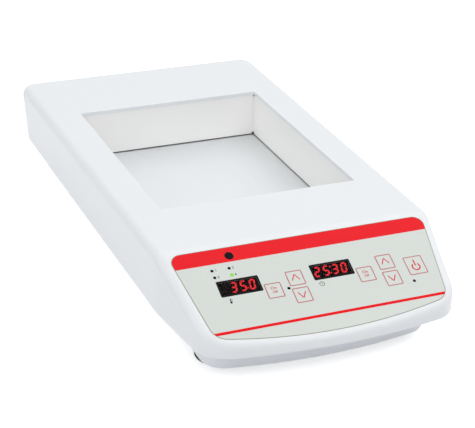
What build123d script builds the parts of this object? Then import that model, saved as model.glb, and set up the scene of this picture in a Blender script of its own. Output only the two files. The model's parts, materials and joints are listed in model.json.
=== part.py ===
from build123d import *
import math
import os

# Dry bath incubator in millimetres: +Z up, +Y to the back, origin on the bench under the middle.

# Well and liner
well_width = 155.0
well_length = 195.0
well_depth = 39.6
liner_sheet = 1.0
liner_setback = 0.6
liner_flange = 8.0
liner_to_plate_gap = 0.8
fold_relief = 1.4
liner_stud_radius = 1.5
liner_stud_length = 5.0
stud_corner_inset = 27.5
push_nut_radius = 4.0
push_nut_thickness = 0.5

# Heater plate and the layers under it
plate_thickness = 8.0
plate_margin = 3.0
plate_corner_radius = 3.0
seat_inset = 0.5
seat_step = 0.4
mat_thickness = 1.5
mat_inset = 5.0
insulation_thickness = 10.0
insulation_inset = 2.0
tray_sheet = 1.0
tray_wall_drop = 0.5
post_radius = 3.46
post_stud_length = 5.0
post_pilot_depth = 8.0
post_inset = (25.5, 35.5)
spacer_radius = 6.0
spacer_height = 5.9
sensor_x = 20.0
sensor_radius = 2.0
sensor_depth = 32.0
sensor_tail = 3.0
sensor_lead_run = 27.0
cutout_offset = 30.5
cutout_radius = 8.0
cutout_height = 8.0
cutout_ear_reach = 16.0
cutout_ear_half_width = 3.5
cutout_ear_sheet = 0.8
cutout_blade_length = 6.2
cutout_blade_half_width = 2.0
cutout_blade_sheet = 0.8
cutout_screw_length = 5.0
cutout_screws_at = (-12.5, 12.5)
cutout_blades_at = (-5.0, 5.0)
mat_leads_at = (-17.0, -11.0)

# Top housing, round the well and the panel
panel_run = 81.0
panel_to_well = 65.0
well_to_rear = 85.0
side_land = 29.7
front_lip_height = 6.5
rear_draft = 2.7
break_draft = 2.2
front_flare = 1.0
housing_wall = 3.0
rear_corner_radius = 12.0
rear_corner_radius_below = 17.0
side_bend_radius = 60.0
front_corner_radius = 26.0
front_bow_radius = 430.0
shoulder_radius = 6.8
break_blend_radius = 15.0
boss_radius = 4.0
case_pilot_depth = 10.0
board_pilot_depth = 5.0
rear_screw_inset = 15.0
middle_screw_setback = 13.0
front_screw_side_inset = 22.0
front_screw_inset = 22.0

# Base tray and feet
base_depth = 22.0
base_wall = 2.0
base_side_setback = 20.0
base_setback = 23.0
base_rear_setback = 8.0
base_corner_radius = 18.0
base_bow_radius = 360.0
base_rear_radius = 8.0
base_edge_radius = 1.2
flange_thickness = 2.0
foot_boss_radius = 4.5
foot_boss_height = 6.0
vent_pitch = 9.0
vent_width = 2.5
vent_length = 30.0
vent_margin = 5.0
foot_height = 6.0
foot_radius = 20.0
foot_taper = 0.5
foot_inset = 2.0
foot_front_inset = 38.0
foot_rear_inset = 23.0
foot_recess_radius = 5.0
foot_recess_depth = 3.4

# Fits, clearances and how far a cut runs past a face
seat_clearance = 0.3
sheet_clearance = 0.4
running_clearance = 0.05
key_side_clearance = 0.2
layer_clearance = 0.6
cutout_clearance = 1.0
screw_end_gap = 1.0
overcut = 1.0

# Screws: shank radius, head radius and head height
machine_screw = (1.95, 3.6, 2.2)
case_screw = (1.45, 2.8, 1.8)
board_screw = (1.15, 2.4, 1.6)

# Control panel: places are given across the panel and down its slope
overlay_thickness = 0.6
overlay_proud = 0.1
overlay_gap = 0.15
overlay_side_margin = 8.1
overlay_front_side_margin = 7.4
overlay_taper = 10.7
overlay_top_edge = 3.6
overlay_front_margin = 5.3
overlay_bow_radius = 384.0
overlay_top_radius = 7.5
overlay_front_radius = 12.0
window_width = 30.7
window_height = 13.3
window_ledge = 1.0
temperature_window_place = (-56.0, 37.2)
time_window_place = (12.9, 36.6)
key_width = 12.1
key_height = 12.4
standby_key_width = 14.2
standby_key_height = 15.6
standby_key_margin = 15.8
key_corner_radius = 1.0
key_travel = 0.5
key_lip = 0.7
key_lip_thickness = 1.0
keys = {
    "standby_key": (74.4, 45.0),
    "temperature_switch_key": (-33.3, 45.3),
    "temperature_up_key": (-15.2, 38.3),
    "temperature_down_key": (-15.2, 52.7),
    "time_switch_key": (35.8, 45.2),
    "time_up_key": (53.5, 37.9),
    "time_down_key": (53.5, 52.2),
}
lamp_radius = 1.1
set_lamp_radius = 1.4
hot_lamp_radius = 3.2
lamps = [(-70.5, 21.2), (-58.0, 21.2), (-70.5, 27.0), (-22.8, 45.6), (68.0, 57.6)]
set_lamp_place = (-58.0, 27.0)
hot_lamp_place = (-54.5, 11.0)

# Control board, under the panel
board_thickness = 1.6
board_depth = 9.0
board_side_margin = 11.3
board_top_edge = 6.0
board_front_edge = 62.0
board_post_radius = 3.2
board_post_side_inset = (6.0, 4.5)
board_post_end_inset = (13.5, 3.5)
display_face_depth = 0.9
display_body_depth = 4.0
display_body_margin = (1.0, 0.5)
key_switch_size = 6.0
key_switch_height = 3.1
key_pin_radius = 1.6
key_pin_gap = 0.15
key_pin_reach = 1.1
key_pin_end_gap = 0.3
key_stem_radius = 2.5
key_stem_gap = 0.1
processor_place = (-45.0, 52.0)
processor_size = 14.0
driver_place = (36.0, 26.0)
driver_size = (18.0, 8.0)
chip_height = 2.0
buzzer_place = (4.0, 52.0)
buzzer_radius = 6.0
buzzer_height = 6.0
buzzer_hole_radius = 1.0
header_v = 24.0
header_width = 12.0
header_length = 6.0
header_height = 6.0
panel_cable_u = -62.0
sensor_lead_u = 20.0
header_lead_drop = 12.0

# Power board, on the base tray behind the well: places are measured from its left or right edge or
# from the middle, and from its front edge
power_board_length = 53.0
power_board_side_gap = 4.5
power_board_gap = 6.0
power_board_post_height = 7.0
power_board_post_radius = 3.5
power_board_post_inset = 6.0
transformer_from_right = 36.0
transformer_y = 27.0
core_width = 42.0
core_length = 20.0
core_height = 35.0
core_leg = 14.0
coil_clearance = 0.3
coil_corner_radius = 2.0
heat_sink_from_left = 29.0
heat_sink_y = 17.5
heat_sink_height = 25.0
heat_sink_back = 3.0
fin_count = 5
fin_pitch = 5.6
fin_sheet = 1.6
fin_length = 8.0
triac_size = (10.0, 4.5, 16.0)
triac_leg_length = 4.0
triac_leg_pitch = 2.5
triac_leg_size = (0.8, 0.5)
relay_x = -8.0
relay_y = 26.0
relay_size = (28.0, 12.0, 16.0)
relay_corner_radius = 0.8
capacitors_x = (-14.0, -1.0)
capacitors_y = 44.0
capacitor_radius = 5.0
capacitor_height = 18.0
mains_terminal_y = 42.0
mains_terminal_width = 24.0
heater_terminal_x = -5.0
heater_terminal_y = 9.5
heater_terminal_width = 34.0
terminal_depth = 9.0
terminal_height = 11.0
terminal_pitch = 5.6
terminal_hole_radius = 1.8
terminal_hole_depth = 3.0
cable_header_from_left = 8.0
cable_header_y = 14.0
probe_header_gap = 9.0
board_header_width = 10.0

# Leads and the earth stud
cable_radius = 2.5
cable_bend = 14.0
cable_rise = 9.0
cable_gap = 1.5
cable_swing = 10.0
cable_front_gap = 24.0
thin_lead_radius = 0.7
signal_lead_radius = 0.9
mains_lead_radius = 1.2
lead_bend = 6.0
sensor_lead_bend = 10.0
mains_lead_drop = 7.0
cutout_lead_height = 0.7
cutout_lead_rise = 8.0
cutout_lead_gap = 3.3
earth_stud_from_inlet = 32.0
earth_stud_from_rear = 15.5
earth_stud_radius = 2.0
earth_stud_height = 11.0
earth_nut_radius = 4.0
earth_nut_height = 3.2
earth_ring_radius = 4.2
earth_ring_sheet = 1.0
earth_lead_run = 9.0
earth_lead_gap = 4.0
earth_lead_drop = 17.0

# Rear panel
inlet_side_inset = 55.2
inlet_rise = 21.5
inlet_width = 28.0
inlet_height = 29.5
inlet_depth = 26.0
inlet_flange_width = 49.0
inlet_flange_height = 34.0
inlet_flange_thickness = 2.0
inlet_flange_radius = 4.0
inlet_screw_spacing = 40.0
inlet_screw_head = 2.6
inlet_screw_head_depth = 1.0
inlet_screw_reach = 4.0
socket_width = 24.4
socket_height = 16.6
socket_depth = 17.5
socket_rise = 5.4
socket_chamfer = 4.0
blade_width = 2.0
blade_height = 4.0
blade_spread = 7.0
blade_step = 4.0
blade_recess = 4.5
blade_tab = 8.0
drawer_width = 20.0
drawer_height = 8.0
drawer_length = 25.0
drawer_drop = 9.3
drawer_face = 3.0
drawer_groove = (10.0, 1.2, 1.0)
drawer_groove_drop = 2.0
fuse_radius = 2.6
fuse_length = 20.0
fuse_spread = 5.0
fuse_end_gap = 0.2
jack_place = 12.0
jack_bore_radius = 1.8
jack_bore_length = 14.0
jack_thread_radius = 4.0
jack_body_radius = 5.5
jack_body_length = 16.0
jack_nut_flats = 11.0
jack_nut_thickness = 1.6

# Heights, from the bench up
base_z = foot_height
housing_z = base_z + base_depth
floor_z = base_z + base_wall
tray_z = floor_z + spacer_height + tray_sheet
insulation_z = tray_z + insulation_thickness
mat_z = insulation_z + mat_thickness
plate_z = mat_z + plate_thickness
top_z = plate_z + well_depth
flange_top_z = housing_z + flange_thickness
cutout_blade_z = mat_z - cutout_height - cutout_blade_length
rear_panel_z = housing_z + inlet_rise
power_board_z = floor_z + power_board_post_height
power_board_top = power_board_z + board_thickness
cable_z = flange_top_z + cable_rise

# Lines along Y, from the front edge to the back
housing_length = panel_run + panel_to_well + well_length + well_to_rear
front_y = -(housing_length + inlet_flange_thickness) / 2
rear_y = front_y + housing_length
inner_rear_y = rear_y - housing_wall
outer_rear_y = rear_y + inlet_flange_thickness
break_y = front_y + panel_run
well_front_y = break_y + panel_to_well
well_rear_y = well_front_y + well_length
well_mid_y = (well_front_y + well_rear_y) / 2
cutout_y = well_mid_y + cutout_offset
plate_half_length = well_length / 2 + plate_margin
plate_front_y = well_mid_y - plate_half_length
power_board_front_y = well_rear_y + plate_margin + power_board_gap
blade_tab_y = rear_y - inlet_depth - blade_tab
jack_tail_y = inner_rear_y - jack_body_length

# Half widths across X
rear_half_width = well_width / 2 + side_land
rear_half_width_below = rear_half_width - rear_draft
overlay_top_half_width = keys["standby_key"][0] + standby_key_width / 2 + standby_key_margin
overlay_front_half_width = overlay_top_half_width - overlay_taper
break_half_width = overlay_top_half_width + overlay_side_margin
break_half_width_below = break_half_width - break_draft
front_half_width = overlay_front_half_width + overlay_front_side_margin
front_half_width_below = front_half_width + front_flare
board_half_width = overlay_top_half_width - board_side_margin
plate_half_width = well_width / 2 + plate_margin
base_half_width = rear_half_width_below - base_side_setback
power_board_half_width = base_half_width - base_wall - power_board_side_gap
cable_x = plate_half_width + cable_gap + cable_radius
inlet_place = inlet_side_inset - rear_half_width

# Panel slope
panel_drop = top_z - housing_z - front_lip_height
panel_tilt = math.atan2(panel_drop, panel_run)
overlay_front_edge = math.hypot(panel_run, panel_drop) - overlay_front_margin
overlay_recess = overlay_thickness - overlay_proud
board_under = board_depth + board_thickness
panel_plane = Plane(
    origin=(0, break_y, top_z),
    x_dir=(1, 0, 0),
    z_dir=(0, -math.sin(panel_tilt), math.cos(panel_tilt)),
)

# Where repeated pieces stand
case_screw_places = [
    (way * x, y)
    for way in (-1, 1)
    for x, y in (
        (rear_half_width - rear_screw_inset, rear_y - rear_screw_inset),
        (rear_half_width - rear_screw_inset, well_mid_y - middle_screw_setback),
        (front_half_width - front_screw_side_inset, front_y + front_screw_inset),
    )
]
board_posts = [
    (way * (board_half_width - side), v)
    for way in (-1, 1)
    for side, v in zip(
        board_post_side_inset,
        (board_top_edge + board_post_end_inset[0], board_front_edge - board_post_end_inset[1]),
    )
]
stud_x = well_width / 2 + liner_setback + liner_sheet + liner_flange / 2
stud_y = well_length / 2 + liner_setback + liner_sheet + liner_flange / 2
side_stud_step = well_length / 2 - stud_corner_inset
end_stud_step = well_width / 2 - stud_corner_inset
liner_studs = [
    (across * stud_x, well_mid_y + along * side_stud_step) for across in (-1, 1) for along in (-1, 0, 1)
]
liner_studs += [
    (across * end_stud_step, well_mid_y + along * stud_y) for across in (-1, 1) for along in (-1, 1)
]
plate_posts_at = [
    (across * (plate_half_width - post_inset[0]), well_mid_y + along * (plate_half_length - post_inset[1]))
    for across in (-1, 1)
    for along in (-1, 1)
]
foot_x = base_half_width - foot_radius - foot_inset
feet_at = [
    (way * foot_x, y)
    for way in (-1, 1)
    for y in (front_y + base_setback + foot_front_inset, rear_y - base_rear_setback - foot_rear_inset)
]
vent_reach = int((foot_x - foot_radius - vent_margin) / vent_pitch)
power_board_posts = [
    (way * (power_board_half_width - power_board_post_inset), y)
    for way in (-1, 1)
    for y in (
        power_board_front_y + power_board_post_inset,
        power_board_front_y + power_board_length - power_board_post_inset,
    )
]
transformer_at = (power_board_half_width - transformer_from_right, power_board_front_y + transformer_y)
heat_sink_at = (heat_sink_from_left - power_board_half_width, power_board_front_y + heat_sink_y)
relay_at = (relay_x, power_board_front_y + relay_y)
capacitors_at = [(x, power_board_front_y + capacitors_y) for x in capacitors_x]
mains_terminal_at = (inlet_place, power_board_front_y + mains_terminal_y)
heater_terminal_at = (heater_terminal_x, power_board_front_y + heater_terminal_y)
cable_header_at = (cable_header_from_left - power_board_half_width, power_board_front_y + cable_header_y)
probe_header_at = (jack_place, jack_tail_y - probe_header_gap)
earth_stud_at = (inlet_place + earth_stud_from_inlet, rear_y - earth_stud_from_rear)
inlet_screw_places = [inlet_place + way * inlet_screw_spacing / 2 for way in (-1, 1)]
fuse_places = [inlet_place + way * fuse_spread for way in (-1, 1)]

parts = {}


def block(x_range, y_range, z_range):
    """A box between two limits along each axis."""
    size = [high - low for low, high in (x_range, y_range, z_range)]
    middle = [(high + low) / 2 for low, high in (x_range, y_range, z_range)]
    return Pos(*middle) * Box(*size)


def rod(x, y, low, high, radius):
    """An upright cylinder between two heights."""
    return Pos(x, y, (low + high) / 2) * Cylinder(radius, high - low)


def rod_back(x, z, low, high, radius):
    """A cylinder along Y between two depths."""
    return Pos(x, (low + high) / 2, z) * Rot(90, 0, 0) * Cylinder(radius, high - low)


def on_panel(u, v, depth=0):
    """A place on the control panel: u to the right, v down the slope, depth into the panel."""
    return panel_plane.location * Pos(u, -v, -depth)


def panel_rod(u, v, top, bottom, radius):
    """A cylinder square to the panel, between two depths below its face."""
    return on_panel(u, v, (top + bottom) / 2) * Cylinder(radius, bottom - top)


def panel_block(u, v, width, height, top, bottom, corner=0.0):
    """A block square to the panel, between two depths below its face."""
    if corner:
        shape = extrude(RectangleRounded(width, height, corner), bottom - top)
        return on_panel(u, v, bottom) * shape
    return on_panel(u, v, (top + bottom) / 2) * Box(width, height, bottom - top)


def screw(x, y, seat_z, length, size, up=True):
    """A pan-head screw whose head seats at seat_z and whose shank runs up or down from it."""
    shank, head, height = size
    way = 1 if up else -1
    shaft = rod(x, y, min(seat_z, seat_z + way * length), max(seat_z, seat_z + way * length), shank)
    cap = rod(x, y, min(seat_z, seat_z - way * height), max(seat_z, seat_z - way * height), head)
    slot = Pos(x, y, seat_z - way * height) * Box(head * 1.3, head * 0.3, height)
    return shaft + cap - slot


def lead(points, radius, bend=lead_bend):
    """An insulated lead along straight runs joined by arcs."""
    radii = []
    for before, corner, after in zip(points, points[1:], points[2:]):
        inward = Vector(*corner) - Vector(*before)
        outward = Vector(*after) - Vector(*corner)
        half_turn = math.radians(inward.get_angle(outward)) / 2
        shorter = min(inward.length, outward.length)
        radii.append(min(bend, 0.45 * shorter / math.tan(half_turn)))
    path = FilletPolyline(*points, radius=radii) if radii else Line(*points)
    return sweep((path ^ 0) * Circle(radius), path=path)


def vertices_near(face, y):
    return [vertex for vertex in face.vertices() if abs(vertex.Y - y) < 0.5]


def bow_y(front, radius, x):
    """Where a bowed front edge lies at x."""
    return front + radius - math.sqrt(radius ** 2 - x ** 2)


def housing_outline(rear_half, break_half, front_half, rear_radius):
    """Plan outline of the housing: square back, sides that bend in at the panel, bowed front."""
    corner_y = bow_y(front_y, front_bow_radius, front_half)
    sides = Polyline(
        (-front_half, corner_y),
        (-break_half, break_y),
        (-rear_half, rear_y),
        (rear_half, rear_y),
        (break_half, break_y),
        (front_half, corner_y),
    )
    bow = ThreePointArc((front_half, corner_y), (0, front_y), (-front_half, corner_y))
    face = make_face([*sides.edges(), bow])
    face = fillet(vertices_near(face, rear_y), rear_radius)
    face = fillet(vertices_near(face, break_y), side_bend_radius)
    return fillet(vertices_near(face, corner_y), front_corner_radius)


def rim_edges(body):
    """Edges where the flat top and the panel meet the walls."""
    roof = [face for face in body.faces() if face.normal_at(face.center()).Z > 0.8]
    rim = []
    for edge in body.edges():
        touching = [face for face in roof if any(edge.is_same(other) for other in face.edges())]
        if len(touching) == 1:
            rim.append(edge)
    return rim


def outline_below():
    return housing_outline(
        rear_half_width_below, break_half_width_below, front_half_width_below, rear_corner_radius_below)


def outline_above():
    return housing_outline(rear_half_width, break_half_width, front_half_width, rear_corner_radius)


def housing_form(inset):
    """The housing's form as a solid, drawn in by a wall thickness for its inside."""
    below, above = outline_below(), outline_above()
    if inset:
        below, above = offset(below, -inset), offset(above, -inset)
    body = loft([Pos(0, 0, housing_z) * below, Pos(0, 0, top_z) * above], ruled=True)
    span = 2 * housing_length
    roof_z = top_z - inset
    body -= Pos(0, 0, roof_z + span / 2) * Box(span, span, span)
    body -= on_panel(0, 0, inset) * Pos(0, 0, span / 2) * Box(span, span, span)
    across = body.edges().filter_by(Axis.X)
    across = [edge for edge in across if edge.center().Y < well_front_y]
    crease = [edge for edge in across if abs(edge.center().Z - roof_z) < 0.01]
    body = fillet(crease, break_blend_radius - inset)
    return fillet(rim_edges(body), shoulder_radius - inset)


def overlay_outline():
    """The membrane sheet's outline, in the panel's own plane."""
    half = overlay_front_half_width
    corner = -bow_y(-overlay_front_edge, overlay_bow_radius, half)
    sides = Polyline(
        (half, -corner),
        (overlay_top_half_width, -overlay_top_edge),
        (-overlay_top_half_width, -overlay_top_edge),
        (-half, -corner),
    )
    bow = ThreePointArc((-half, -corner), (0, -overlay_front_edge), (half, -corner))
    face = make_face([*sides.edges(), bow])
    face = fillet(vertices_near(face, -overlay_top_edge), overlay_top_radius)
    return fillet(vertices_near(face, -corner), overlay_front_radius)


def key_size(name):
    return (standby_key_width, standby_key_height) if name == "standby_key" else (key_width, key_height)


def panel_openings(from_depth, to_depth, extra):
    """Holes for keys and lamps through the overlay or the panel wall."""
    holes = []
    for name, (u, v) in keys.items():
        width, height = key_size(name)
        holes.append(panel_block(u, v, width, height, from_depth, to_depth, key_corner_radius))
    for u, v in lamps:
        holes.append(panel_rod(u, v, from_depth, to_depth, lamp_radius + extra))
    holes.append(panel_rod(*set_lamp_place, from_depth, to_depth, set_lamp_radius + extra))
    holes.append(panel_rod(*hot_lamp_place, from_depth, to_depth, hot_lamp_radius + extra))
    return holes


def top_housing():
    """White moulded shell with the well opening, the sloping panel and the rear panel."""
    outer = housing_form(0)
    shell = outer - housing_form(housing_wall)
    studs_low = top_z - housing_wall - liner_stud_length
    inside = [rod(x, y, flange_top_z, top_z, boss_radius) for x, y in case_screw_places]
    inside += [rod(x, y, studs_low, top_z - housing_wall / 2, liner_stud_radius) for x, y in liner_studs]
    inside += [panel_rod(u, v, housing_wall / 2, board_depth, board_post_radius) for u, v in board_posts]
    shell += outer & (Part() + inside)
    half_width = well_width / 2
    opening_heights = (top_z - 2 * housing_wall, top_z + overcut)
    cuts = [block((-half_width, half_width), (well_front_y, well_rear_y), opening_heights)]
    recess = extrude(offset(overlay_outline(), overlay_gap), 5 * overlay_recess)
    cuts.append(on_panel(0, 0, overlay_recess) * recess)
    cuts += panel_openings(0, housing_wall + overlay_proud, seat_clearance)
    for place in (temperature_window_place, time_window_place):
        width, height = window_width - 2 * window_ledge, window_height - 2 * window_ledge
        cuts.append(panel_block(*place, width, height, 0, housing_wall + overcut))
    cuts += [rod(x, y, housing_z, flange_top_z + case_pilot_depth, case_screw[0] + running_clearance)
             for x, y in case_screw_places]
    cuts += [panel_rod(u, v, board_depth - board_pilot_depth, board_depth, board_screw[0] + running_clearance)
             for u, v in board_posts]
    wide, tall = inlet_width / 2 + seat_clearance, inlet_height / 2 + seat_clearance
    cuts.append(block(
        (inlet_place - wide, inlet_place + wide),
        (inner_rear_y - overcut, rear_y + overcut),
        (rear_panel_z - tall, rear_panel_z + tall),
    ))
    through = (inner_rear_y - overcut, rear_y + overcut)
    hole = case_screw[0] + running_clearance
    cuts += [rod_back(x, rear_panel_z, *through, hole) for x in inlet_screw_places]
    cuts.append(rod_back(jack_place, rear_panel_z, *through, jack_thread_radius + seat_clearance))
    return shell - cuts


def panel_overlay():
    """Flexible printed sheet in the panel's recess, open at the windows, keys and lamps."""
    sheet = on_panel(0, 0, overlay_recess) * extrude(overlay_outline(), overlay_thickness)
    cuts = panel_openings(-overcut, overcut, running_clearance)
    for place in (temperature_window_place, time_window_place):
        cuts.append(panel_block(*place, window_width, window_height, -overcut, overcut, key_corner_radius))
    return sheet - cuts


def window(place):
    """Dark display window, let into the overlay and resting on the panel's ledge."""
    fit = 2 * running_clearance
    return panel_block(
        *place, window_width - fit, window_height - fit, -overlay_proud, overlay_recess, key_corner_radius)


def display(place):
    """Four-digit display module that stands on the control board and reaches up to its window."""
    ledge = 2 * (window_ledge + key_side_clearance)
    width, height = window_width - ledge, window_height - ledge
    face = panel_block(*place, width, height, display_face_depth, display_body_depth)
    width, height = window_width - display_body_margin[0], window_height - display_body_margin[1]
    body = panel_block(*place, width, height, display_body_depth, board_depth)
    return face + body


def key(name):
    """A key: its printed pad, the lip that keeps it in, its stem and the pin that works its switch."""
    u, v = keys[name]
    width, height = (size - 2 * key_side_clearance for size in key_size(name))
    lip_top = housing_wall + running_clearance
    lip_bottom = lip_top + key_lip_thickness
    switch_top = board_depth - key_switch_height
    stem_end = switch_top - key_travel - key_stem_gap
    pad = panel_block(u, v, width, height, -overlay_proud, lip_bottom, key_corner_radius)
    lip = panel_block(u, v, width + 2 * key_lip, height + 2 * key_lip, lip_top, lip_bottom)
    stem = panel_rod(u, v, lip_bottom, stem_end, key_stem_radius)
    pin = panel_rod(u, v, stem_end, switch_top + key_pin_reach, key_pin_radius)
    return pad + lip + stem + pin


def key_switches():
    """One push switch on the control board below each key."""
    top = board_depth - key_switch_height
    switches = []
    for u, v in keys.values():
        body = panel_block(u, v, key_switch_size, key_switch_size, top, board_depth)
        bore_end = top + key_pin_reach + key_travel + key_pin_end_gap
        bore = panel_rod(u, v, top, bore_end, key_pin_radius + key_pin_gap)
        switches.append(body - bore)
    return Part() + switches


def lamp_post(u, v, radius):
    return panel_rod(u, v, -overlay_proud, board_depth, radius)


def control_board():
    """Circuit board under the panel, with a hole at each post."""
    height = board_front_edge - board_top_edge
    middle = (board_front_edge + board_top_edge) / 2
    sheet = panel_block(0, middle, 2 * board_half_width, height, board_depth, board_under)
    holes = [panel_rod(u, v, board_depth, board_under, board_screw[0] + running_clearance)
             for u, v in board_posts]
    return sheet - holes


def control_board_screws():
    length = board_thickness + board_pilot_depth - screw_end_gap
    return Part() + [on_panel(u, v, board_under) * screw(0, 0, 0, length, board_screw)
                     for u, v in board_posts]


def control_chips():
    """Processor and driver chips on the underside of the control board."""
    low = board_under + chip_height
    processor = panel_block(*processor_place, processor_size, processor_size, board_under, low)
    driver = panel_block(*driver_place, *driver_size, board_under, low)
    return Part() + [processor, driver]


def buzzer():
    end = board_under + buzzer_height
    body = panel_rod(*buzzer_place, board_under, end, buzzer_radius)
    return body - panel_rod(*buzzer_place, end - buzzer_hole_radius, end, buzzer_hole_radius)


def cable_connectors():
    """Headers on both boards where the cable and the sensor leads end."""
    low = board_under + header_height
    headers = [panel_block(u, header_v, header_width, header_length, board_under, low)
               for u in (panel_cable_u, sensor_lead_u)]
    headers += [on_power_board(x, y, board_header_width, header_length, header_height)
                for x, y in (cable_header_at, probe_header_at)]
    return Part() + headers


def well_liner():
    """Folded sheet: a flange under the housing's top and four walls down to just above the plate."""
    half_width = well_width / 2 + liner_setback
    half_length = well_length / 2 + liner_setback
    low, high = plate_z + liner_to_plate_gap, top_z - housing_wall
    outer = liner_sheet + liner_flange

    def ring(grow, z_range):
        return block((-half_width - grow, half_width + grow),
                     (well_mid_y - half_length - grow, well_mid_y + half_length + grow), z_range)

    liner = ring(liner_sheet, (low, high)) + ring(outer, (high - liner_sheet, high))
    liner -= ring(0, (low - overcut, high + overcut))
    hole = liner_stud_radius + running_clearance
    cuts = [rod(x, y, high - 2 * liner_sheet, high + overcut, hole) for x, y in liner_studs]
    notch = 2 * fold_relief
    for x in (-half_width, half_width):
        for y in (well_mid_y - half_length, well_mid_y + half_length):
            cuts += [Pos(x, y, z) * Box(notch, notch, notch) for z in (low, high)]
    return liner - cuts


def liner_push_nuts():
    """Spring washers pushed on the housing's studs, under the liner's flange."""
    seat = top_z - housing_wall - liner_sheet
    return Part() + [
        rod(x, y, seat - push_nut_thickness, seat, push_nut_radius)
        - rod(x, y, seat - overcut, seat + overcut, liner_stud_radius + running_clearance)
        for x, y in liner_studs
    ]


def heater_plate():
    """Aluminium plate with a raised seat for the blocks, bored for the sensor and tapped for its posts."""
    outline = RectangleRounded(2 * plate_half_width, 2 * plate_half_length, plate_corner_radius)
    seat = RectangleRounded(well_width - 2 * seat_inset, well_length - 2 * seat_inset, plate_corner_radius)
    plate = Pos(0, well_mid_y, mat_z) * extrude(outline, plate_thickness - seat_step)
    plate += Pos(0, well_mid_y, plate_z - seat_step) * extrude(seat, seat_step)
    fit = running_clearance
    post_hole_top = mat_z + post_stud_length + screw_end_gap
    cuts = [rod(x, y, mat_z, post_hole_top, machine_screw[0] + fit) for x, y in plate_posts_at]
    screw_hole_top = mat_z + cutout_screw_length
    cuts += [rod(x, cutout_y, mat_z, screw_hole_top, case_screw[0] + fit) for x in cutout_screws_at]
    bore_end = plate_front_y + sensor_depth + screw_end_gap
    cuts.append(rod_back(sensor_x, mat_z + plate_thickness / 2, plate_front_y, bore_end, sensor_radius + fit))
    return plate - cuts


def under_plate(inset, low, high, post_hole, shape_cuts=()):
    """A flat layer below the plate with holes for the posts and the cutout."""
    width, length = 2 * (plate_half_width - inset), 2 * (plate_half_length - inset)
    layer = Pos(0, well_mid_y, low) * extrude(Rectangle(width, length), high - low)
    layer -= [rod(x, y, low, high, post_hole) for x, y in plate_posts_at]
    return layer - list(shape_cuts)


def cutout_space(low, high, gap):
    """Room for the overheat cutout and its fixing ears."""
    reach, half = cutout_ear_reach + gap, cutout_ear_half_width + cutout_clearance + gap
    ears = block((-reach, reach), (cutout_y - half, cutout_y + half), (low, high))
    return [rod(0, cutout_y, low, high, cutout_radius + gap), ears]


def overheat_cutout():
    """Disc thermostat held against the plate by two ears, with two blades below."""
    disc = rod(0, cutout_y, mat_z - cutout_height, mat_z, cutout_radius)
    half, sheet = cutout_ear_half_width, cutout_blade_sheet / 2
    ears_low = mat_z - cutout_ear_sheet
    ears = block((-cutout_ear_reach, cutout_ear_reach), (cutout_y - half, cutout_y + half), (ears_low, mat_z))
    blades = [
        block((x - cutout_blade_half_width, x + cutout_blade_half_width),
              (cutout_y - sheet, cutout_y + sheet),
              (cutout_blade_z, mat_z - cutout_height))
        for x in cutout_blades_at
    ]
    hole = case_screw[0] + running_clearance
    return disc + ears + blades - [rod(x, cutout_y, ears_low, mat_z, hole) for x in cutout_screws_at]


def cutout_screws():
    seat = mat_z - cutout_ear_sheet
    return Part() + [screw(x, cutout_y, seat, cutout_screw_length, case_screw) for x in cutout_screws_at]


def insulation_tray():
    """Folded steel tray that holds the insulation up against the heating mat."""
    half_width = plate_half_width - insulation_inset + seat_clearance
    half_length = plate_half_length - insulation_inset + seat_clearance
    high = insulation_z - tray_wall_drop

    def body(grow, z_range):
        return block((-half_width - grow, half_width + grow),
                     (well_mid_y - half_length - grow, well_mid_y + half_length + grow), z_range)

    tray = body(tray_sheet, (tray_z - tray_sheet, high)) - body(0, (tray_z, high + overcut))
    low = tray_z - tray_sheet
    holes = [rod(x, y, low, tray_z, post_radius + layer_clearance) for x, y in plate_posts_at]
    holes.append(rod(0, cutout_y, low, tray_z, cutout_radius + cutout_clearance))
    return tray - holes


def tray_spacers():
    """Tubes round the posts that carry the insulation tray."""
    return Part() + [
        rod(x, y, floor_z, tray_z - tray_sheet, spacer_radius)
        - rod(x, y, floor_z, tray_z, post_radius + seat_clearance)
        for x, y in plate_posts_at
    ]


def plate_posts():
    """Six-sided posts from the base tray's floor to the plate, with a threaded stud on top."""
    posts = []
    pilot = machine_screw[0] + running_clearance
    for x, y in plate_posts_at:
        post = Pos(x, y, floor_z) * extrude(RegularPolygon(post_radius, 6), mat_z - floor_z)
        post += rod(x, y, mat_z, mat_z + post_stud_length, machine_screw[0])
        posts.append(post - rod(x, y, floor_z, floor_z + post_pilot_depth, pilot))
    return Part() + posts


def plate_sensor():
    z = mat_z + plate_thickness / 2
    return rod_back(sensor_x, z, plate_front_y - sensor_tail, plate_front_y + sensor_depth, sensor_radius)


def base_outline(inset=0.0):
    """Plan outline of the base tray."""
    half = base_half_width
    front = front_y + base_setback
    corner_y = bow_y(front, base_bow_radius, half)
    back = rear_y - base_rear_setback
    sides = Polyline((-half, corner_y), (-half, back), (half, back), (half, corner_y))
    bow = ThreePointArc((half, corner_y), (0, front), (-half, corner_y))
    face = make_face([*sides.edges(), bow])
    face = fillet(vertices_near(face, back), base_rear_radius)
    face = fillet(vertices_near(face, corner_y), base_corner_radius)
    return offset(face, -inset) if inset else face


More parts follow.
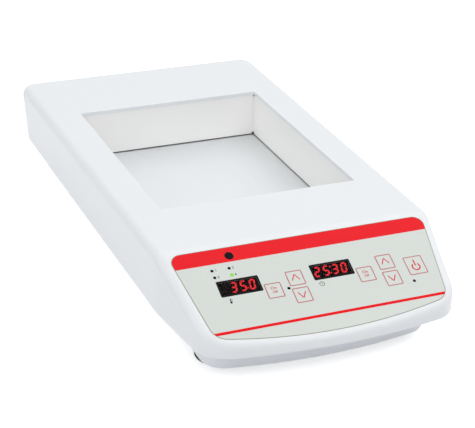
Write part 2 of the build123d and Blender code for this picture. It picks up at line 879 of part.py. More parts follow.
def base_tray():
    """Lower body: a pan with a flange that closes the housing, and bosses on its floor."""
    pan = Pos(0, 0, base_z) * extrude(base_outline(), base_depth)
    pan = fillet(pan.faces().sort_by(Axis.Z)[0].edges(), base_edge_radius)
    flange = extrude(offset(outline_below(), -(housing_wall + sheet_clearance)), flange_thickness)
    tray = pan + Pos(0, 0, housing_z) * flange
    tray -= Pos(0, 0, floor_z) * extrude(base_outline(base_wall), base_depth + flange_thickness)
    tray += [rod(x, y, floor_z, floor_z + foot_boss_height, foot_boss_radius) for x, y in feet_at]
    tray += [rod(x, y, floor_z, power_board_z, power_board_post_radius) for x, y in power_board_posts]
    fit = running_clearance
    hole = case_screw[0] + key_side_clearance
    foot_hole = machine_screw[0] + fit
    cuts = [rod(x, y, housing_z - overcut, flange_top_z + overcut, hole) for x, y in case_screw_places]
    cuts += [rod(x, y, base_z - overcut, floor_z + foot_boss_height, foot_hole) for x, y in feet_at]
    cuts += [rod(x, y, base_z - overcut, floor_z + overcut, foot_hole) for x, y in plate_posts_at]
    cuts += [rod(x, y, floor_z, power_board_z, board_screw[0] + fit) for x, y in power_board_posts]
    slot = extrude(SlotOverall(vent_length, vent_width, rotation=90), base_wall + 2 * overcut)
    vents_y = power_board_front_y + power_board_length / 2
    rows = range(-vent_reach, vent_reach + 1)
    cuts += [Pos(row * vent_pitch, vents_y, base_z - overcut) * slot for row in rows]
    return tray - cuts


def rubber_feet():
    """Four round feet, each with a recess for its screw."""
    feet = []
    for x, y in feet_at:
        foot = Pos(x, y, foot_height / 2) * Cone(foot_radius - foot_taper, foot_radius, foot_height)
        foot -= rod(x, y, -overcut, foot_recess_depth, foot_recess_radius)
        feet.append(foot - rod(x, y, 0, foot_height + overcut, machine_screw[0] + running_clearance))
    return Part() + feet


def foot_screws():
    length = foot_height - foot_recess_depth + base_wall + foot_boss_height - screw_end_gap
    return Part() + [screw(x, y, foot_recess_depth, length, machine_screw) for x, y in feet_at]


def post_screws():
    length = base_wall + post_pilot_depth - screw_end_gap
    return Part() + [screw(x, y, base_z, length, machine_screw) for x, y in plate_posts_at]


def housing_screws():
    length = flange_thickness + case_pilot_depth - screw_end_gap
    return Part() + [screw(x, y, housing_z, length, case_screw) for x, y in case_screw_places]


def on_power_board(x, y, width, length, height, lift=0.0):
    """A block that stands on the power board."""
    low = power_board_top + lift
    return block((x - width / 2, x + width / 2), (y - length / 2, y + length / 2), (low, low + height))


def power_board():
    board = block((-power_board_half_width, power_board_half_width),
                  (power_board_front_y, power_board_front_y + power_board_length),
                  (power_board_z, power_board_top))
    return board - [rod(x, y, power_board_z, power_board_top, board_screw[0] + running_clearance)
                    for x, y in power_board_posts]


def power_board_screws():
    length = board_thickness + power_board_post_height - screw_end_gap
    return Part() + [screw(x, y, power_board_top, length, board_screw, up=False)
                     for x, y in power_board_posts]


def transformer_core():
    """Laminated core with a centre leg and two windows."""
    x, y = transformer_at
    core = on_power_board(x, y, core_width, core_length, core_height)
    side = (core_width - 2 * core_leg) / 2
    shift = (core_leg + side) / 2
    tall = core_height - core_leg
    return core - [on_power_board(x + way * shift, y, side, core_length + 2 * overcut, tall, core_leg / 2)
                   for way in (-1, 1)]


def transformer_windings():
    """Copper windings on a bobbin round the core's centre leg."""
    x, y = transformer_at
    side = (core_width - 2 * core_leg) / 2 - coil_clearance
    tall = core_height - core_leg - 2 * coil_clearance
    width, length = core_leg + 2 * side, core_length + 2 * side
    coil = on_power_board(x, y, width, length, tall, core_leg / 2 + coil_clearance)
    coil = fillet(coil.edges().filter_by(Axis.Z), coil_corner_radius)
    return coil - on_power_board(x, y, core_leg, core_length, core_height)


def heat_sink():
    """Finned aluminium block that cools the triac."""
    x, y = heat_sink_at
    reach = (fin_count - 1) * fin_pitch / 2
    sink = on_power_board(x, y, 2 * reach + fin_sheet, heat_sink_back, heat_sink_height)
    fin_y = y + (heat_sink_back + fin_length) / 2
    for fin in range(fin_count):
        sink += on_power_board(x - reach + fin * fin_pitch, fin_y, fin_sheet, fin_length, heat_sink_height)
    return sink


def triac():
    """Flat power switch bolted to the heat sink, on three legs."""
    x = heat_sink_at[0]
    y = heat_sink_at[1] - (heat_sink_back + triac_size[1]) / 2
    body = on_power_board(x, y, *triac_size, triac_leg_length)
    return body + [on_power_board(x + way * triac_leg_pitch, y, *triac_leg_size, triac_leg_length)
                   for way in (-1, 0, 1)]


def relay():
    body = on_power_board(*relay_at, *relay_size)
    return fillet(body.edges().filter_by(Axis.Z), relay_corner_radius)


def capacitors():
    high = power_board_top + capacitor_height
    return Part() + [rod(x, y, power_board_top, high, capacitor_radius) for x, y in capacitors_at]


def terminal_blocks():
    """Screw terminals for the mains and for the heater."""
    blocks = []
    high = power_board_top + terminal_height
    sizes = ((mains_terminal_at, mains_terminal_width), (heater_terminal_at, heater_terminal_width))
    for (x, y), width in sizes:
        body = on_power_board(x, y, width, terminal_depth, terminal_height)
        ways = round(width / terminal_pitch)
        for way in range(ways):
            spot = x + (way - (ways - 1) / 2) * terminal_pitch
            body -= rod(spot, y, high - terminal_hole_depth, high, terminal_hole_radius)
        blocks.append(body)
    return Part() + blocks


def inlet_block(width, height, y_range, rise=0.0):
    """A block in the rear panel, about the inlet's centre."""
    return block((inlet_place - width / 2, inlet_place + width / 2), y_range,
                 (rear_panel_z + rise - height / 2, rear_panel_z + rise + height / 2))


def blade_spots():
    """Live, neutral and earth blades across the socket, earth highest."""
    z = rear_panel_z + socket_rise
    low, high = z - blade_step / 2, z + blade_step / 2
    return [(inlet_place - blade_spread, low), (inlet_place + blade_spread, low), (inlet_place, high)]


def mains_inlet():
    """Appliance inlet with a socket for the mains connector and a slot for the fuse drawer."""
    body = inlet_block(inlet_width, inlet_height, (rear_y - inlet_depth, rear_y))
    flange = inlet_block(inlet_flange_width, inlet_flange_height, (rear_y, outer_rear_y))
    flange = fillet(flange.edges().filter_by(Axis.Y), inlet_flange_radius)
    out = outer_rear_y + overcut
    socket = inlet_block(socket_width, socket_height, (outer_rear_y - socket_depth, out), socket_rise)
    socket_mid_z = rear_panel_z + socket_rise
    upper = [edge for edge in socket.edges().filter_by(Axis.Y) if edge.center().Z > socket_mid_z]
    socket = chamfer(upper, socket_chamfer)
    fit = 2 * running_clearance
    slot_y = (outer_rear_y - drawer_length, out)
    slot = inlet_block(drawer_width + fit, drawer_height + fit, slot_y, -drawer_drop)
    cuts = [socket, slot]
    cuts += [block((x - blade_width / 2, x + blade_width / 2), (rear_y - inlet_depth, rear_y),
                   (z - blade_height / 2, z + blade_height / 2)) for x, z in blade_spots()]
    cuts += [rod_back(x, rear_panel_z, rear_y - overcut, out, case_screw[0] + running_clearance)
             for x in inlet_screw_places]
    seat, head = outer_rear_y - inlet_screw_head_depth, inlet_screw_head + running_clearance
    cuts += [rod_back(x, rear_panel_z, seat, out, head) for x in inlet_screw_places]
    return body + flange - cuts


def inlet_blades():
    """Live, neutral and earth blades that reach through the inlet to tabs inside."""
    return Part() + [
        block((x - blade_width / 2, x + blade_width / 2), (blade_tab_y, outer_rear_y - blade_recess),
              (z - blade_height / 2, z + blade_height / 2)) for x, z in blade_spots()
    ]


def inlet_screws():
    """Two screws that hold the inlet, with heads let into its flange."""
    screws = []
    seat = outer_rear_y - inlet_screw_head_depth
    slot_size = (3 * inlet_screw_head, inlet_screw_head_depth, inlet_screw_head / 3)
    for x in inlet_screw_places:
        shank = rod_back(x, rear_panel_z, inner_rear_y - inlet_screw_reach, seat, case_screw[0])
        head = rod_back(x, rear_panel_z, seat, outer_rear_y, inlet_screw_head)
        slot = Pos(x, outer_rear_y, rear_panel_z) * Box(*slot_size)
        screws.append(shank + head - slot)
    return Part() + screws


def fuse_drawer():
    """Sliding carrier with two troughs for fuses and a finger groove in its face."""
    back_y = outer_rear_y - drawer_length + seat_clearance
    drawer = inlet_block(drawer_width, drawer_height, (back_y, outer_rear_y), -drawer_drop)
    z = rear_panel_z - drawer_drop
    trough = fuse_radius + running_clearance
    low, high = fuse_y()[0] - fuse_end_gap, fuse_y()[1] + fuse_end_gap
    cuts = []
    for x in fuse_places:
        cuts.append(rod_back(x, z, low, high, trough))
        cuts.append(block((x - trough, x + trough), (low, high), (z, z + drawer_height)))
    width, height, depth = drawer_groove
    groove = (outer_rear_y - depth, outer_rear_y + depth)
    cuts.append(inlet_block(width, height, groove, -drawer_drop - drawer_groove_drop))
    return drawer - cuts


def fuse_y():
    """Where the fuses begin and end, behind the drawer's face."""
    return outer_rear_y - drawer_face - fuse_length, outer_rear_y - drawer_face


def fuses():
    return Part() + [rod_back(x, rear_panel_z - drawer_drop, *fuse_y(), fuse_radius) for x in fuse_places]


def probe_jack():
    """Jack for an outside probe: a threaded neck through the rear wall and a body inside."""
    neck = rod_back(jack_place, rear_panel_z, inner_rear_y, outer_rear_y, jack_thread_radius)
    body = rod_back(jack_place, rear_panel_z, jack_tail_y, inner_rear_y, jack_body_radius)
    bore_y = (outer_rear_y - jack_bore_length, outer_rear_y)
    return neck + body - rod_back(jack_place, rear_panel_z, *bore_y, jack_bore_radius)


def probe_jack_nut():
    nut = extrude(RegularPolygon(jack_nut_flats / math.sqrt(3), 6), jack_nut_thickness)
    nut = Pos(jack_place, rear_y, rear_panel_z) * Rot(-90, 0, 0) * nut
    hole = jack_thread_radius + running_clearance
    return nut - rod_back(jack_place, rear_panel_z, rear_y, rear_y + 2 * jack_nut_thickness, hole)


def header_end(u):
    """Underside of a header on the control board, and a point straight below it."""
    low = board_under + header_height
    return [tuple(on_panel(u, header_v, low + reach).position) for reach in (0, header_lead_drop)]


def panel_cable():
    """Cable from the power board along the left side of the well to the control board."""
    x, y = cable_header_at
    end, below = header_end(panel_cable_u)
    return lead([
        (x, y, power_board_top + header_height),
        (x, y, cable_z),
        (-cable_x, y - cable_swing, cable_z),
        (-cable_x, break_y + cable_front_gap, cable_z),
        below,
        end,
    ], cable_radius, cable_bend)


def sensor_leads():
    """Leads of the plate sensor and of the probe jack."""
    z = mat_z + plate_thickness / 2
    end, below = header_end(sensor_lead_u)
    tail = plate_front_y - sensor_tail
    plate_points = [(sensor_x, tail, z), (sensor_x, tail - sensor_lead_run, z), below, end]
    x, y = probe_header_at
    header_top = power_board_top + header_height
    jack_points = [(x, jack_tail_y, rear_panel_z), (x, y, rear_panel_z), (x, y, header_top)]
    return Part() + [
        lead(plate_points, signal_lead_radius, sensor_lead_bend),
        lead(jack_points, signal_lead_radius),
    ]


def mains_leads():
    """Live and neutral leads from the inlet's tabs down to the mains terminal."""
    z = power_board_top + terminal_height / 2
    face_y = mains_terminal_at[1] - terminal_depth / 2
    drop_y = min(face_y, blade_tab_y) - mains_lead_drop
    leads = []
    for x, blade_z in blade_spots()[:2]:
        points = [(x, blade_tab_y, blade_z), (x, drop_y, blade_z), (x, drop_y, z), (x, face_y, z)]
        leads.append(lead(points, mains_lead_radius))
    return Part() + leads


def heater_leads():
    """Leads of the heating mat and of the overheat cutout, to the heater terminal."""
    mat_rear = well_mid_y + plate_half_length - mat_inset
    face_y = heater_terminal_at[1] - terminal_depth / 2
    mat_level = mat_z - mat_thickness / 2
    low = cutout_blade_z + cutout_lead_height
    high = low + cutout_lead_rise
    rise_y = power_board_front_y - cutout_lead_gap
    start_y = cutout_y + cutout_blade_sheet / 2
    leads = [lead([(x, mat_rear, mat_level), (x, face_y, mat_level)], thin_lead_radius) for x in mat_leads_at]
    for x in cutout_blades_at:
        points = [(x, start_y, low), (x, rise_y, low), (x, rise_y, high), (x, face_y, high)]
        leads.append(lead(points, thin_lead_radius))
    return Part() + leads


def earth_stud():
    """Threaded stud on the base tray's floor with its two nuts."""
    x, y = earth_stud_at
    nut = extrude(RegularPolygon(earth_nut_radius, 6), earth_nut_height)
    nut -= Cylinder(earth_stud_radius + running_clearance, 3 * earth_nut_height)
    upper_z = floor_z + earth_nut_height + earth_ring_sheet
    stud = rod(x, y, floor_z, floor_z + earth_stud_height, earth_stud_radius)
    return Part() + [stud, Pos(x, y, floor_z) * nut, Pos(x, y, upper_z) * nut]


def earth_lead():
    """Earth lead from the inlet to a ring between the earth stud's nuts."""
    x, y = earth_stud_at
    blade_x, blade_z = blade_spots()[2]
    ring_low = floor_z + earth_nut_height
    ring_z = ring_low + earth_ring_sheet / 2
    ring = rod(x, y, ring_low, ring_low + earth_ring_sheet, earth_ring_radius)
    ring -= rod(x, y, ring_low, ring_low + earth_ring_sheet, earth_stud_radius + running_clearance)
    side_x = inlet_place + inlet_width / 2 + earth_lead_gap
    run_y = blade_tab_y - earth_lead_run
    run = lead([
        (blade_x, blade_tab_y, blade_z),
        (blade_x, run_y, blade_z),
        (side_x, run_y, blade_z),
        (side_x, y, blade_z - earth_lead_drop),
        (side_x, y, ring_z),
        (x - earth_nut_radius, y, ring_z),
    ], signal_lead_radius)
    return ring + run


parts["top_housing"] = top_housing()
parts["base_tray"] = base_tray()
parts["rubber_feet"] = rubber_feet()
parts["foot_screws"] = foot_screws()
parts["housing_screws"] = housing_screws()
parts["well_liner"] = well_liner()
parts["liner_push_nuts"] = liner_push_nuts()
parts["heater_plate"] = heater_plate()
parts["heating_mat"] = under_plate(
    mat_inset, insulation_z, mat_z, post_radius + layer_clearance,
    cutout_space(insulation_z, mat_z, layer_clearance))
parts["insulation_pad"] = under_plate(
    insulation_inset, tray_z, insulation_z, post_radius + layer_clearance,
    cutout_space(tray_z, insulation_z, layer_clearance))
parts["insulation_tray"] = insulation_tray()
parts["tray_spacers"] = tray_spacers()
parts["plate_posts"] = plate_posts()
parts["post_screws"] = post_screws()
parts["plate_sensor"] = plate_sensor()
parts["overheat_cutout"] = overheat_cutout()
parts["cutout_screws"] = cutout_screws()
parts["panel_overlay"] = panel_overlay()
parts["temperature_window"] = window(temperature_window_place)
parts["time_window"] = window(time_window_place)
parts["temperature_display"] = display(temperature_window_place)
parts["time_display"] = display(time_window_place)
for key_name in keys:
    parts[key_name] = key(key_name)
parts["key_switches"] = key_switches()
parts["indicator_lamps"] = Part() + [lamp_post(u, v, lamp_radius) for u, v in lamps]
parts["set_lamp"] = lamp_post(*set_lamp_place, set_lamp_radius)
parts["hot_lamp"] = lamp_post(*hot_lamp_place, hot_lamp_radius)
parts["control_board"] = control_board()
parts["control_board_screws"] = control_board_screws()
parts["control_chips"] = control_chips()
parts["buzzer"] = buzzer()
parts["cable_connectors"] = cable_connectors()
parts["power_board"] = power_board()
parts["power_board_screws"] = power_board_screws()
parts["transformer_core"] = transformer_core()
parts["transformer_windings"] = transformer_windings()
parts["heat_sink"] = heat_sink()
parts["triac"] = triac()
parts["relay"] = relay()
parts["capacitors"] = capacitors()
parts["terminal_blocks"] = terminal_blocks()
parts["mains_inlet"] = mains_inlet()
parts["inlet_blades"] = inlet_blades()
parts["inlet_screws"] = inlet_screws()
parts["fuse_drawer"] = fuse_drawer()
parts["fuses"] = fuses()
parts["probe_jack"] = probe_jack()
parts["probe_jack_nut"] = probe_jack_nut()
parts["panel_cable"] = panel_cable()
parts["sensor_leads"] = sensor_leads()
parts["mains_leads"] = mains_leads()
parts["heater_leads"] = heater_leads()
parts["earth_stud"] = earth_stud()
parts["earth_lead"] = earth_lead()

os.makedirs("parts", exist_ok=True)
for name, shape in parts.items():
    export_step(shape, f"parts/{name}.step")
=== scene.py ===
import bmesh
import bpy
import json
import math
from mathutils import Matrix, Vector


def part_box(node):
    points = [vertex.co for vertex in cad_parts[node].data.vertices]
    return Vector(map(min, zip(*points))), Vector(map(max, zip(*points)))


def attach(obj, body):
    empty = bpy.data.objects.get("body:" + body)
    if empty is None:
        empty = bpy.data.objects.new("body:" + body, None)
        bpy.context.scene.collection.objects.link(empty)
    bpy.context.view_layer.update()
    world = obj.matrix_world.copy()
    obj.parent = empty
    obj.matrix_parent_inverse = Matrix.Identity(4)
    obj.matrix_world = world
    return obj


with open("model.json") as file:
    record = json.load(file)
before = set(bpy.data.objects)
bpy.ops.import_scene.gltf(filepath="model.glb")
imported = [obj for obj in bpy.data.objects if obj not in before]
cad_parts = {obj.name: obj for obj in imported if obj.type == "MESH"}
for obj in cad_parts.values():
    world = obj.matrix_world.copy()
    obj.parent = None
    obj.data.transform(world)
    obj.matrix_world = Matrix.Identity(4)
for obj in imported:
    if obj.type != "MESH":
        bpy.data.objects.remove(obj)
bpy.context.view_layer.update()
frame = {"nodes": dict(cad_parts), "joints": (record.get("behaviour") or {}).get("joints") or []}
nodes = frame["nodes"]
mm = 0.001
weldGap = 0.0005 * mm       # points nearer than this become one
cutGap = 0.0001 * mm        # points this near a cutting plane lie on it
roundSteps = 40
cornerSteps = 6
print("frame loaded:", len(nodes), "nodes")


# The camera looks at the bench from the front left and above.
cameraPlan = {
    "place": (-0.4115, -1.0037, 0.5485),
    "turn": -22.841,       # degrees about the upright axis
    "lookDown": 25.647,
    "roll": 1.424,
    "lens": 116.1,
    "sensor": 36.0,
    "near": 0.02,
    "far": 60.0,
}


def addToScene(name, data):
    thing = bpy.data.objects.new(name, data)
    bpy.context.scene.collection.objects.link(thing)
    return thing


def makeCamera(plan):
    data = bpy.data.cameras.new("benchCamera")
    data.lens = plan["lens"]
    data.sensor_width = plan["sensor"]
    data.clip_start = plan["near"]
    data.clip_end = plan["far"]
    camera = addToScene("benchCamera", data)
    turn = Matrix.Rotation(math.radians(plan["turn"]), 4, "Z")
    tilt = Matrix.Rotation(math.radians(90 - plan["lookDown"]), 4, "X")
    roll = Matrix.Rotation(math.radians(plan["roll"]), 4, "Z")
    camera.matrix_world = Matrix.Translation(plan["place"]) @ turn @ tilt @ roll
    bpy.context.scene.camera = camera


# A wire is the output of one shader node; sums, differences and products add their maths nodes.
class Wire:
    def __init__(self, graph, socket):
        self.graph = graph
        self.socket = socket

    def maths(self, operation, first, second):
        return self.graph.add("ShaderNodeMath", {"operation": operation}, {0: first, 1: second})

    def __add__(self, other):
        return self.maths("ADD", self, other)

    def __sub__(self, other):
        return self.maths("SUBTRACT", self, other)

    def __rsub__(self, other):
        return self.maths("SUBTRACT", other, self)

    def __mul__(self, other):
        return self.maths("MULTIPLY", self, other)

    __radd__ = __add__
    __rmul__ = __mul__


class Graph:
    def __init__(self, tree):
        self.tree = tree
        tree.nodes.clear()

    def make(self, kind, settings=None, values=None):
        node = self.tree.nodes.new(kind)
        for label, value in (settings or {}).items():
            if label == "stops":
                self.setStops(node.color_ramp, value)
            else:
                setattr(node, label, value)
        for label, value in (values or {}).items():
            if isinstance(value, Wire):
                self.tree.links.new(value.socket, node.inputs[label])
            else:
                node.inputs[label].default_value = value
        return node

    def add(self, kind, settings=None, values=None, pick=0):
        return Wire(self, self.make(kind, settings, values).outputs[pick])

    def setStops(self, ramp, stops):
        while len(ramp.elements) < len(stops):
            ramp.elements.new(0.5)
        for element, (position, level) in zip(ramp.elements, stops):
            element.position = position
            element.color = (level, level, level, 1.0)


# A paint is one material: its fixed values go straight to the shader, the rest is fed to it.
class Paint(Graph):
    def __init__(self, name, fixed):
        self.material = bpy.data.materials.new(name)
        self.material.use_nodes = True
        super().__init__(self.material.node_tree)
        self.skin = self.make("ShaderNodeBsdfPrincipled", None, fixed)
        self.end = self.make("ShaderNodeOutputMaterial")
        self.close(Wire(self, self.skin.outputs[0]))
        self.here = self.add("ShaderNodeTexCoord", pick="Object")

    def close(self, wire):
        self.tree.links.new(wire.socket, self.end.inputs[0])

    def feed(self, label, wire):
        self.tree.links.new(wire.socket, self.skin.inputs[label])

    def noise(self, scale, detail, rough, stretch=(1, 1, 1)):
        place = self.add("ShaderNodeMapping", None, {"Vector": self.here, "Scale": stretch})
        values = {"Vector": place, "Scale": scale, "Detail": detail, "Roughness": rough}
        return self.add("ShaderNodeTexNoise", None, values, pick="Fac")

    def cells(self, scale, kind="F1"):
        return self.add("ShaderNodeTexVoronoi", {"feature": kind}, {"Vector": self.here, "Scale": scale})

    def stripes(self, scale, axis, distort):
        settings = {"wave_type": "BANDS", "bands_direction": axis}
        values = {"Vector": self.here, "Scale": scale, "Distortion": distort}
        return self.add("ShaderNodeTexWave", settings, values, pick="Fac")

    def blend(self, amount, low, high):
        return self.add("ShaderNodeMix", {"data_type": "RGBA"}, {0: amount, 6: low, 7: high}, pick=2)

    def grade(self, wire, stops):
        return self.add("ShaderNodeValToRGB", {"stops": stops}, {0: wire})

    def bump(self, height, strength, depth, under=None):
        values = {"Height": height, "Strength": strength, "Distance": depth}
        if under:
            values["Normal"] = under
        return self.add("ShaderNodeBump", None, values)


def shade(colour, factor):
    return tuple(min(1.0, part * factor) for part in colour) + (1.0,)


# Each noise is a scale, a detail and a roughness. Most finishes are a colour and a gloss that
# drift a little, with fine specks, a slight swell and a grain.
plainLook = {
    "metallic": 0.0, "ior": 1.5, "coat": 0.0, "coatRough": 0.03,
    "driftNoise": (14.0, 4.0, 0.55), "drift": 0.012,
    "speckNoise": (900.0, 2.0, 0.6), "speck": 0.015, "speckShade": 0.6,
    "rough": 0.36, "polish": 0.04, "roughDrift": 0.05, "roughSpeck": 0.03,
    "swellNoise": (60.0, 2.0, 0.5), "swell": 0.05, "swellDepth": 0.4 * mm,
    "grainNoise": (1600.0, 3.0, 0.6), "grainStretch": (1, 1, 1), "grain": 0.10, "grainDepth": 0.05 * mm,
}
sheetLook = {
    **plainLook, "rough": 0.42, "coat": 0.12, "coatRough": 0.25, "speck": 0.02,
    "grainNoise": (700.0, 3.0, 0.6), "grain": 0.12, "swellNoise": (220.0, 2.0, 0.5), "swell": 0.10,
}
metalLook = {
    **plainLook, "metallic": 1.0, "rough": 0.32, "drift": 0.05, "speck": 0.05,
    "grainNoise": (900.0, 3.0, 0.6), "grain": 0.12,
}
rubberLook = {
    **plainLook, "rough": 0.78, "drift": 0.12, "speck": 0.2,
    "grainNoise": (1100.0, 3.0, 0.6), "grain": 0.35,
}


def solidFinish(name, colour, look):
    paint = Paint(name, {
        "Metallic": look["metallic"], "IOR": look["ior"],
        "Coat Weight": look["coat"], "Coat Roughness": look["coatRough"]})
    drift = paint.noise(*look["driftNoise"])
    speck = paint.noise(*look["speckNoise"])
    tone = paint.blend(drift, shade(colour, 1 - look["drift"]), shade(colour, 1 + look["drift"]))
    paint.feed("Base Color", paint.blend(speck * look["speck"], tone, shade(colour, look["speckShade"])))
    gloss = look["rough"] - look["polish"] + drift * look["roughDrift"]
    paint.feed("Roughness", gloss + speck * look["roughSpeck"])
    under = paint.bump(paint.noise(*look["swellNoise"]), look["swell"], look["swellDepth"])
    grain = paint.noise(*look["grainNoise"], look["grainStretch"])
    paint.feed("Normal", paint.bump(grain, look["grain"], look["grainDepth"], under))
    return paint.material


def mouldedPlastic(name, colour, **look):
    return solidFinish(name, colour, {**plainLook, **look})


def paintedSheet(name, colour, **look):
    return solidFinish(name, colour, {**sheetLook, **look})


def bareMetal(name, colour, **look):
    return solidFinish(name, colour, {**metalLook, **look})


def softRubber(name, colour, **look):
    return solidFinish(name, colour, {**rubberLook, **look})


# The blocks stand on this plate: fine blasted grain, faint rubbed streaks and soft stains.
plateLook = {
    "metallic": 0.68,
    "cloudNoise": (11.0, 5.0, 0.6), "cloudShades": (0.96, 1.03),
    "rubNoise": (420.0, 4.0, 0.7), "rubStretch": (1.0, 0.05, 1.0), "rubFrom": 0.52, "rubTo": 0.72,
    "rubbed": 0.25, "rubShade": 1.08, "rubBump": (0.05, 0.2 * mm),
    "grainNoise": (2400.0, 2.0, 0.6), "grain": 0.10, "grainShade": 0.7, "grainBump": (0.22, 0.06 * mm),
    "rough": 0.55, "roughCloud": 0.06, "roughRub": 0.05,
}


def satinPlate(name, colour):
    look = plateLook
    paint = Paint(name, {"Metallic": look["metallic"]})
    cloud = paint.noise(*look["cloudNoise"])
    rubbed = paint.noise(*look["rubNoise"], look["rubStretch"])
    grain = paint.noise(*look["grainNoise"])
    dark, pale = look["cloudShades"]
    tone = paint.blend(cloud, shade(colour, dark), shade(colour, pale))
    worn = paint.grade(rubbed, [(look["rubFrom"], 0.0), (look["rubTo"], 1.0)])
    tone = paint.blend(worn * look["rubbed"], tone, shade(colour, look["rubShade"]))
    paint.feed("Base Color", paint.blend(grain * look["grain"], tone, shade(colour, look["grainShade"])))
    paint.feed("Roughness", look["rough"] + cloud * look["roughCloud"] - worn * look["roughRub"])
    under = paint.bump(rubbed, *look["rubBump"])
    paint.feed("Normal", paint.bump(grain, *look["grainBump"], under))
    return paint.material


filmLook = {
    "coat": 0.05, "coatRough": 0.3, "cloudNoise": (9.0, 3.0, 0.5), "cloudShades": (0.985, 1.015),
    "grainScale": 2600.0, "grain": 0.05, "grainShade": 0.8, "grainBump": (0.10, 0.03 * mm),
    "rough": 0.40, "roughCloud": 0.06,
}


def printedFilm(name, colour):
    look = filmLook
    paint = Paint(name, {"Coat Weight": look["coat"], "Coat Roughness": look["coatRough"]})
    cloud = paint.noise(*look["cloudNoise"])
    grain = paint.cells(look["grainScale"])
    dark, pale = look["cloudShades"]
    tone = paint.blend(cloud, shade(colour, dark), shade(colour, pale))
    paint.feed("Base Color", paint.blend(grain * look["grain"], tone, shade(colour, look["grainShade"])))
    paint.feed("Roughness", look["rough"] + cloud * look["roughCloud"])
    paint.feed("Normal", paint.bump(grain, *look["grainBump"]))
    return paint.material


inkLook = {
    "specular": 0.08, "cloudNoise": (120.0, 3.0, 0.6), "cloudShades": (0.95, 1.05),
    "grainNoise": (3200.0, 2.0, 0.6), "grainBump": (0.08, 0.02 * mm), "rough": 0.4, "roughGrain": 0.08,
}


def printedInk(name, colour, **change):
    look = {**inkLook, **change}
    paint = Paint(name, {"Specular IOR Level": look["specular"]})
    cloud = paint.noise(*look["cloudNoise"])
    grain = paint.noise(*look["grainNoise"])
    dark, pale = look["cloudShades"]
    paint.feed("Base Color", paint.blend(cloud, shade(colour, dark), shade(colour, pale)))
    paint.feed("Roughness", look["rough"] + grain * look["roughGrain"])
    paint.feed("Normal", paint.bump(grain, *look["grainBump"]))
    return paint.material


lensLook = {
    "cloudNoise": (900.0, 2.0, 0.5), "bodyShades": (0.5, 0.6), "glowShades": (0.94, 1.04),
    "rough": 0.25, "roughCloud": 0.05,
}


def litLens(name, colour, strength):
    look = lensLook
    paint = Paint(name, {"Emission Strength": strength})
    cloud = paint.noise(*look["cloudNoise"])
    for label, (dark, pale) in (("Base Color", look["bodyShades"]), ("Emission Color", look["glowShades"])):
        paint.feed(label, paint.blend(cloud, shade(colour, dark), shade(colour, pale)))
    paint.feed("Roughness", look["rough"] + cloud * look["roughCloud"])
    return paint.material


windowLook = {
    "specular": 0.10, "hazeNoise": (40.0, 4.0, 0.6), "hazeShades": (0.8, 1.2), "alphaHaze": 0.06,
    "dustNoise": (1500.0, 2.0, 0.6), "rough": 0.10, "roughHaze": 0.08, "roughDust": 0.03,
}


def tintedWindow(name, colour, alpha):
    look = windowLook
    paint = Paint(name, {"Specular IOR Level": look["specular"]})
    haze = paint.noise(*look["hazeNoise"])
    dust = paint.noise(*look["dustNoise"])
    dark, pale = look["hazeShades"]
    paint.feed("Base Color", paint.blend(haze, shade(colour, dark), shade(colour, pale)))
    paint.feed("Roughness", look["rough"] + haze * look["roughHaze"] + dust * look["roughDust"])
    paint.feed("Alpha", alpha + haze * look["alphaHaze"])
    return paint.material


# Turns of wire on the windings, and the edges of the core's sheets; the stripes carry painted shade, darker
# down in the grooves between turns and between sheets.
woundLook = {
    "metallic": 0.7, "axis": "Z", "distort": 0.3, "groove": 0.45,
    "cloudNoise": (80.0, 3.0, 0.6), "cloudShades": (0.8, 1.15),
    "rough": 0.30, "roughCloud": 0.15, "bump": (0.6, 0.3 * mm),
}
stackLook = {
    "metallic": 0.8, "axis": "Y", "distort": 0.2, "groove": 0.55,
    "cloudNoise": (60.0, 4.0, 0.6), "cloudShades": (0.8, 1.2),
    "rough": 0.38, "roughCloud": 0.2, "bump": (0.5, 0.15 * mm),
}


def layeredMetal(name, colour, look, pitch):
    paint = Paint(name, {"Metallic": look["metallic"]})
    layers = paint.stripes(1.0 / pitch, look["axis"], look["distort"])
    cloud = paint.noise(*look["cloudNoise"])
    dark, pale = look["cloudShades"]
    tone = paint.blend(cloud, shade(colour, dark), shade(colour, pale))
    # painted shade: the colour darkens where the stripes dip, in the grooves between turns and sheets
    paint.feed("Base Color", paint.blend(layers, shade(colour, look["groove"]), tone))
    paint.feed("Roughness", look["rough"] + cloud * look["roughCloud"])
    paint.feed("Normal", paint.bump(layers, *look["bump"]))
    return paint.material


def woundWire(name, colour, pitch):
    return layeredMetal(name, colour, woundLook, pitch)


def stackedSteel(name, colour, pitch):
    return layeredMetal(name, colour, stackLook, pitch)


# Green solder mask with a net of tracks and small pads.
boardLook = {
    "coat": 0.25, "coatRough": 0.15, "trackScale": 150.0, "trackWidth": 0.03, "trackEdge": 0.06,
    "padScale": 330.0, "padWidth": 0.12, "padEdge": 0.18, "solder": (0.62, 0.60, 0.52),
    "tracks": 0.6, "trackShade": 1.9, "pads": 0.8, "rough": 0.34, "roughPad": 0.08, "metalPad": 0.7,
    "bump": (0.25, 0.05 * mm),
}


def circuitBoard(name, colour):
    look = boardLook
    paint = Paint(name, {"Coat Weight": look["coat"], "Coat Roughness": look["coatRough"]})
    net = paint.cells(look["trackScale"], "DISTANCE_TO_EDGE")
    tracks = paint.grade(net, [(look["trackWidth"], 1.0), (look["trackEdge"], 0.0)])
    pads = paint.grade(paint.cells(look["padScale"]), [(look["padWidth"], 1.0), (look["padEdge"], 0.0)])
    tone = paint.blend(tracks * look["tracks"], shade(colour, 1.0), shade(colour, look["trackShade"]))
    paint.feed("Base Color", paint.blend(pads * look["pads"], tone, shade(look["solder"], 1.0)))
    paint.feed("Roughness", look["rough"] - pads * look["roughPad"])
    paint.feed("Metallic", pads * look["metalPad"])
    paint.feed("Normal", paint.bump(tracks + pads, *look["bump"]))
    return paint.material


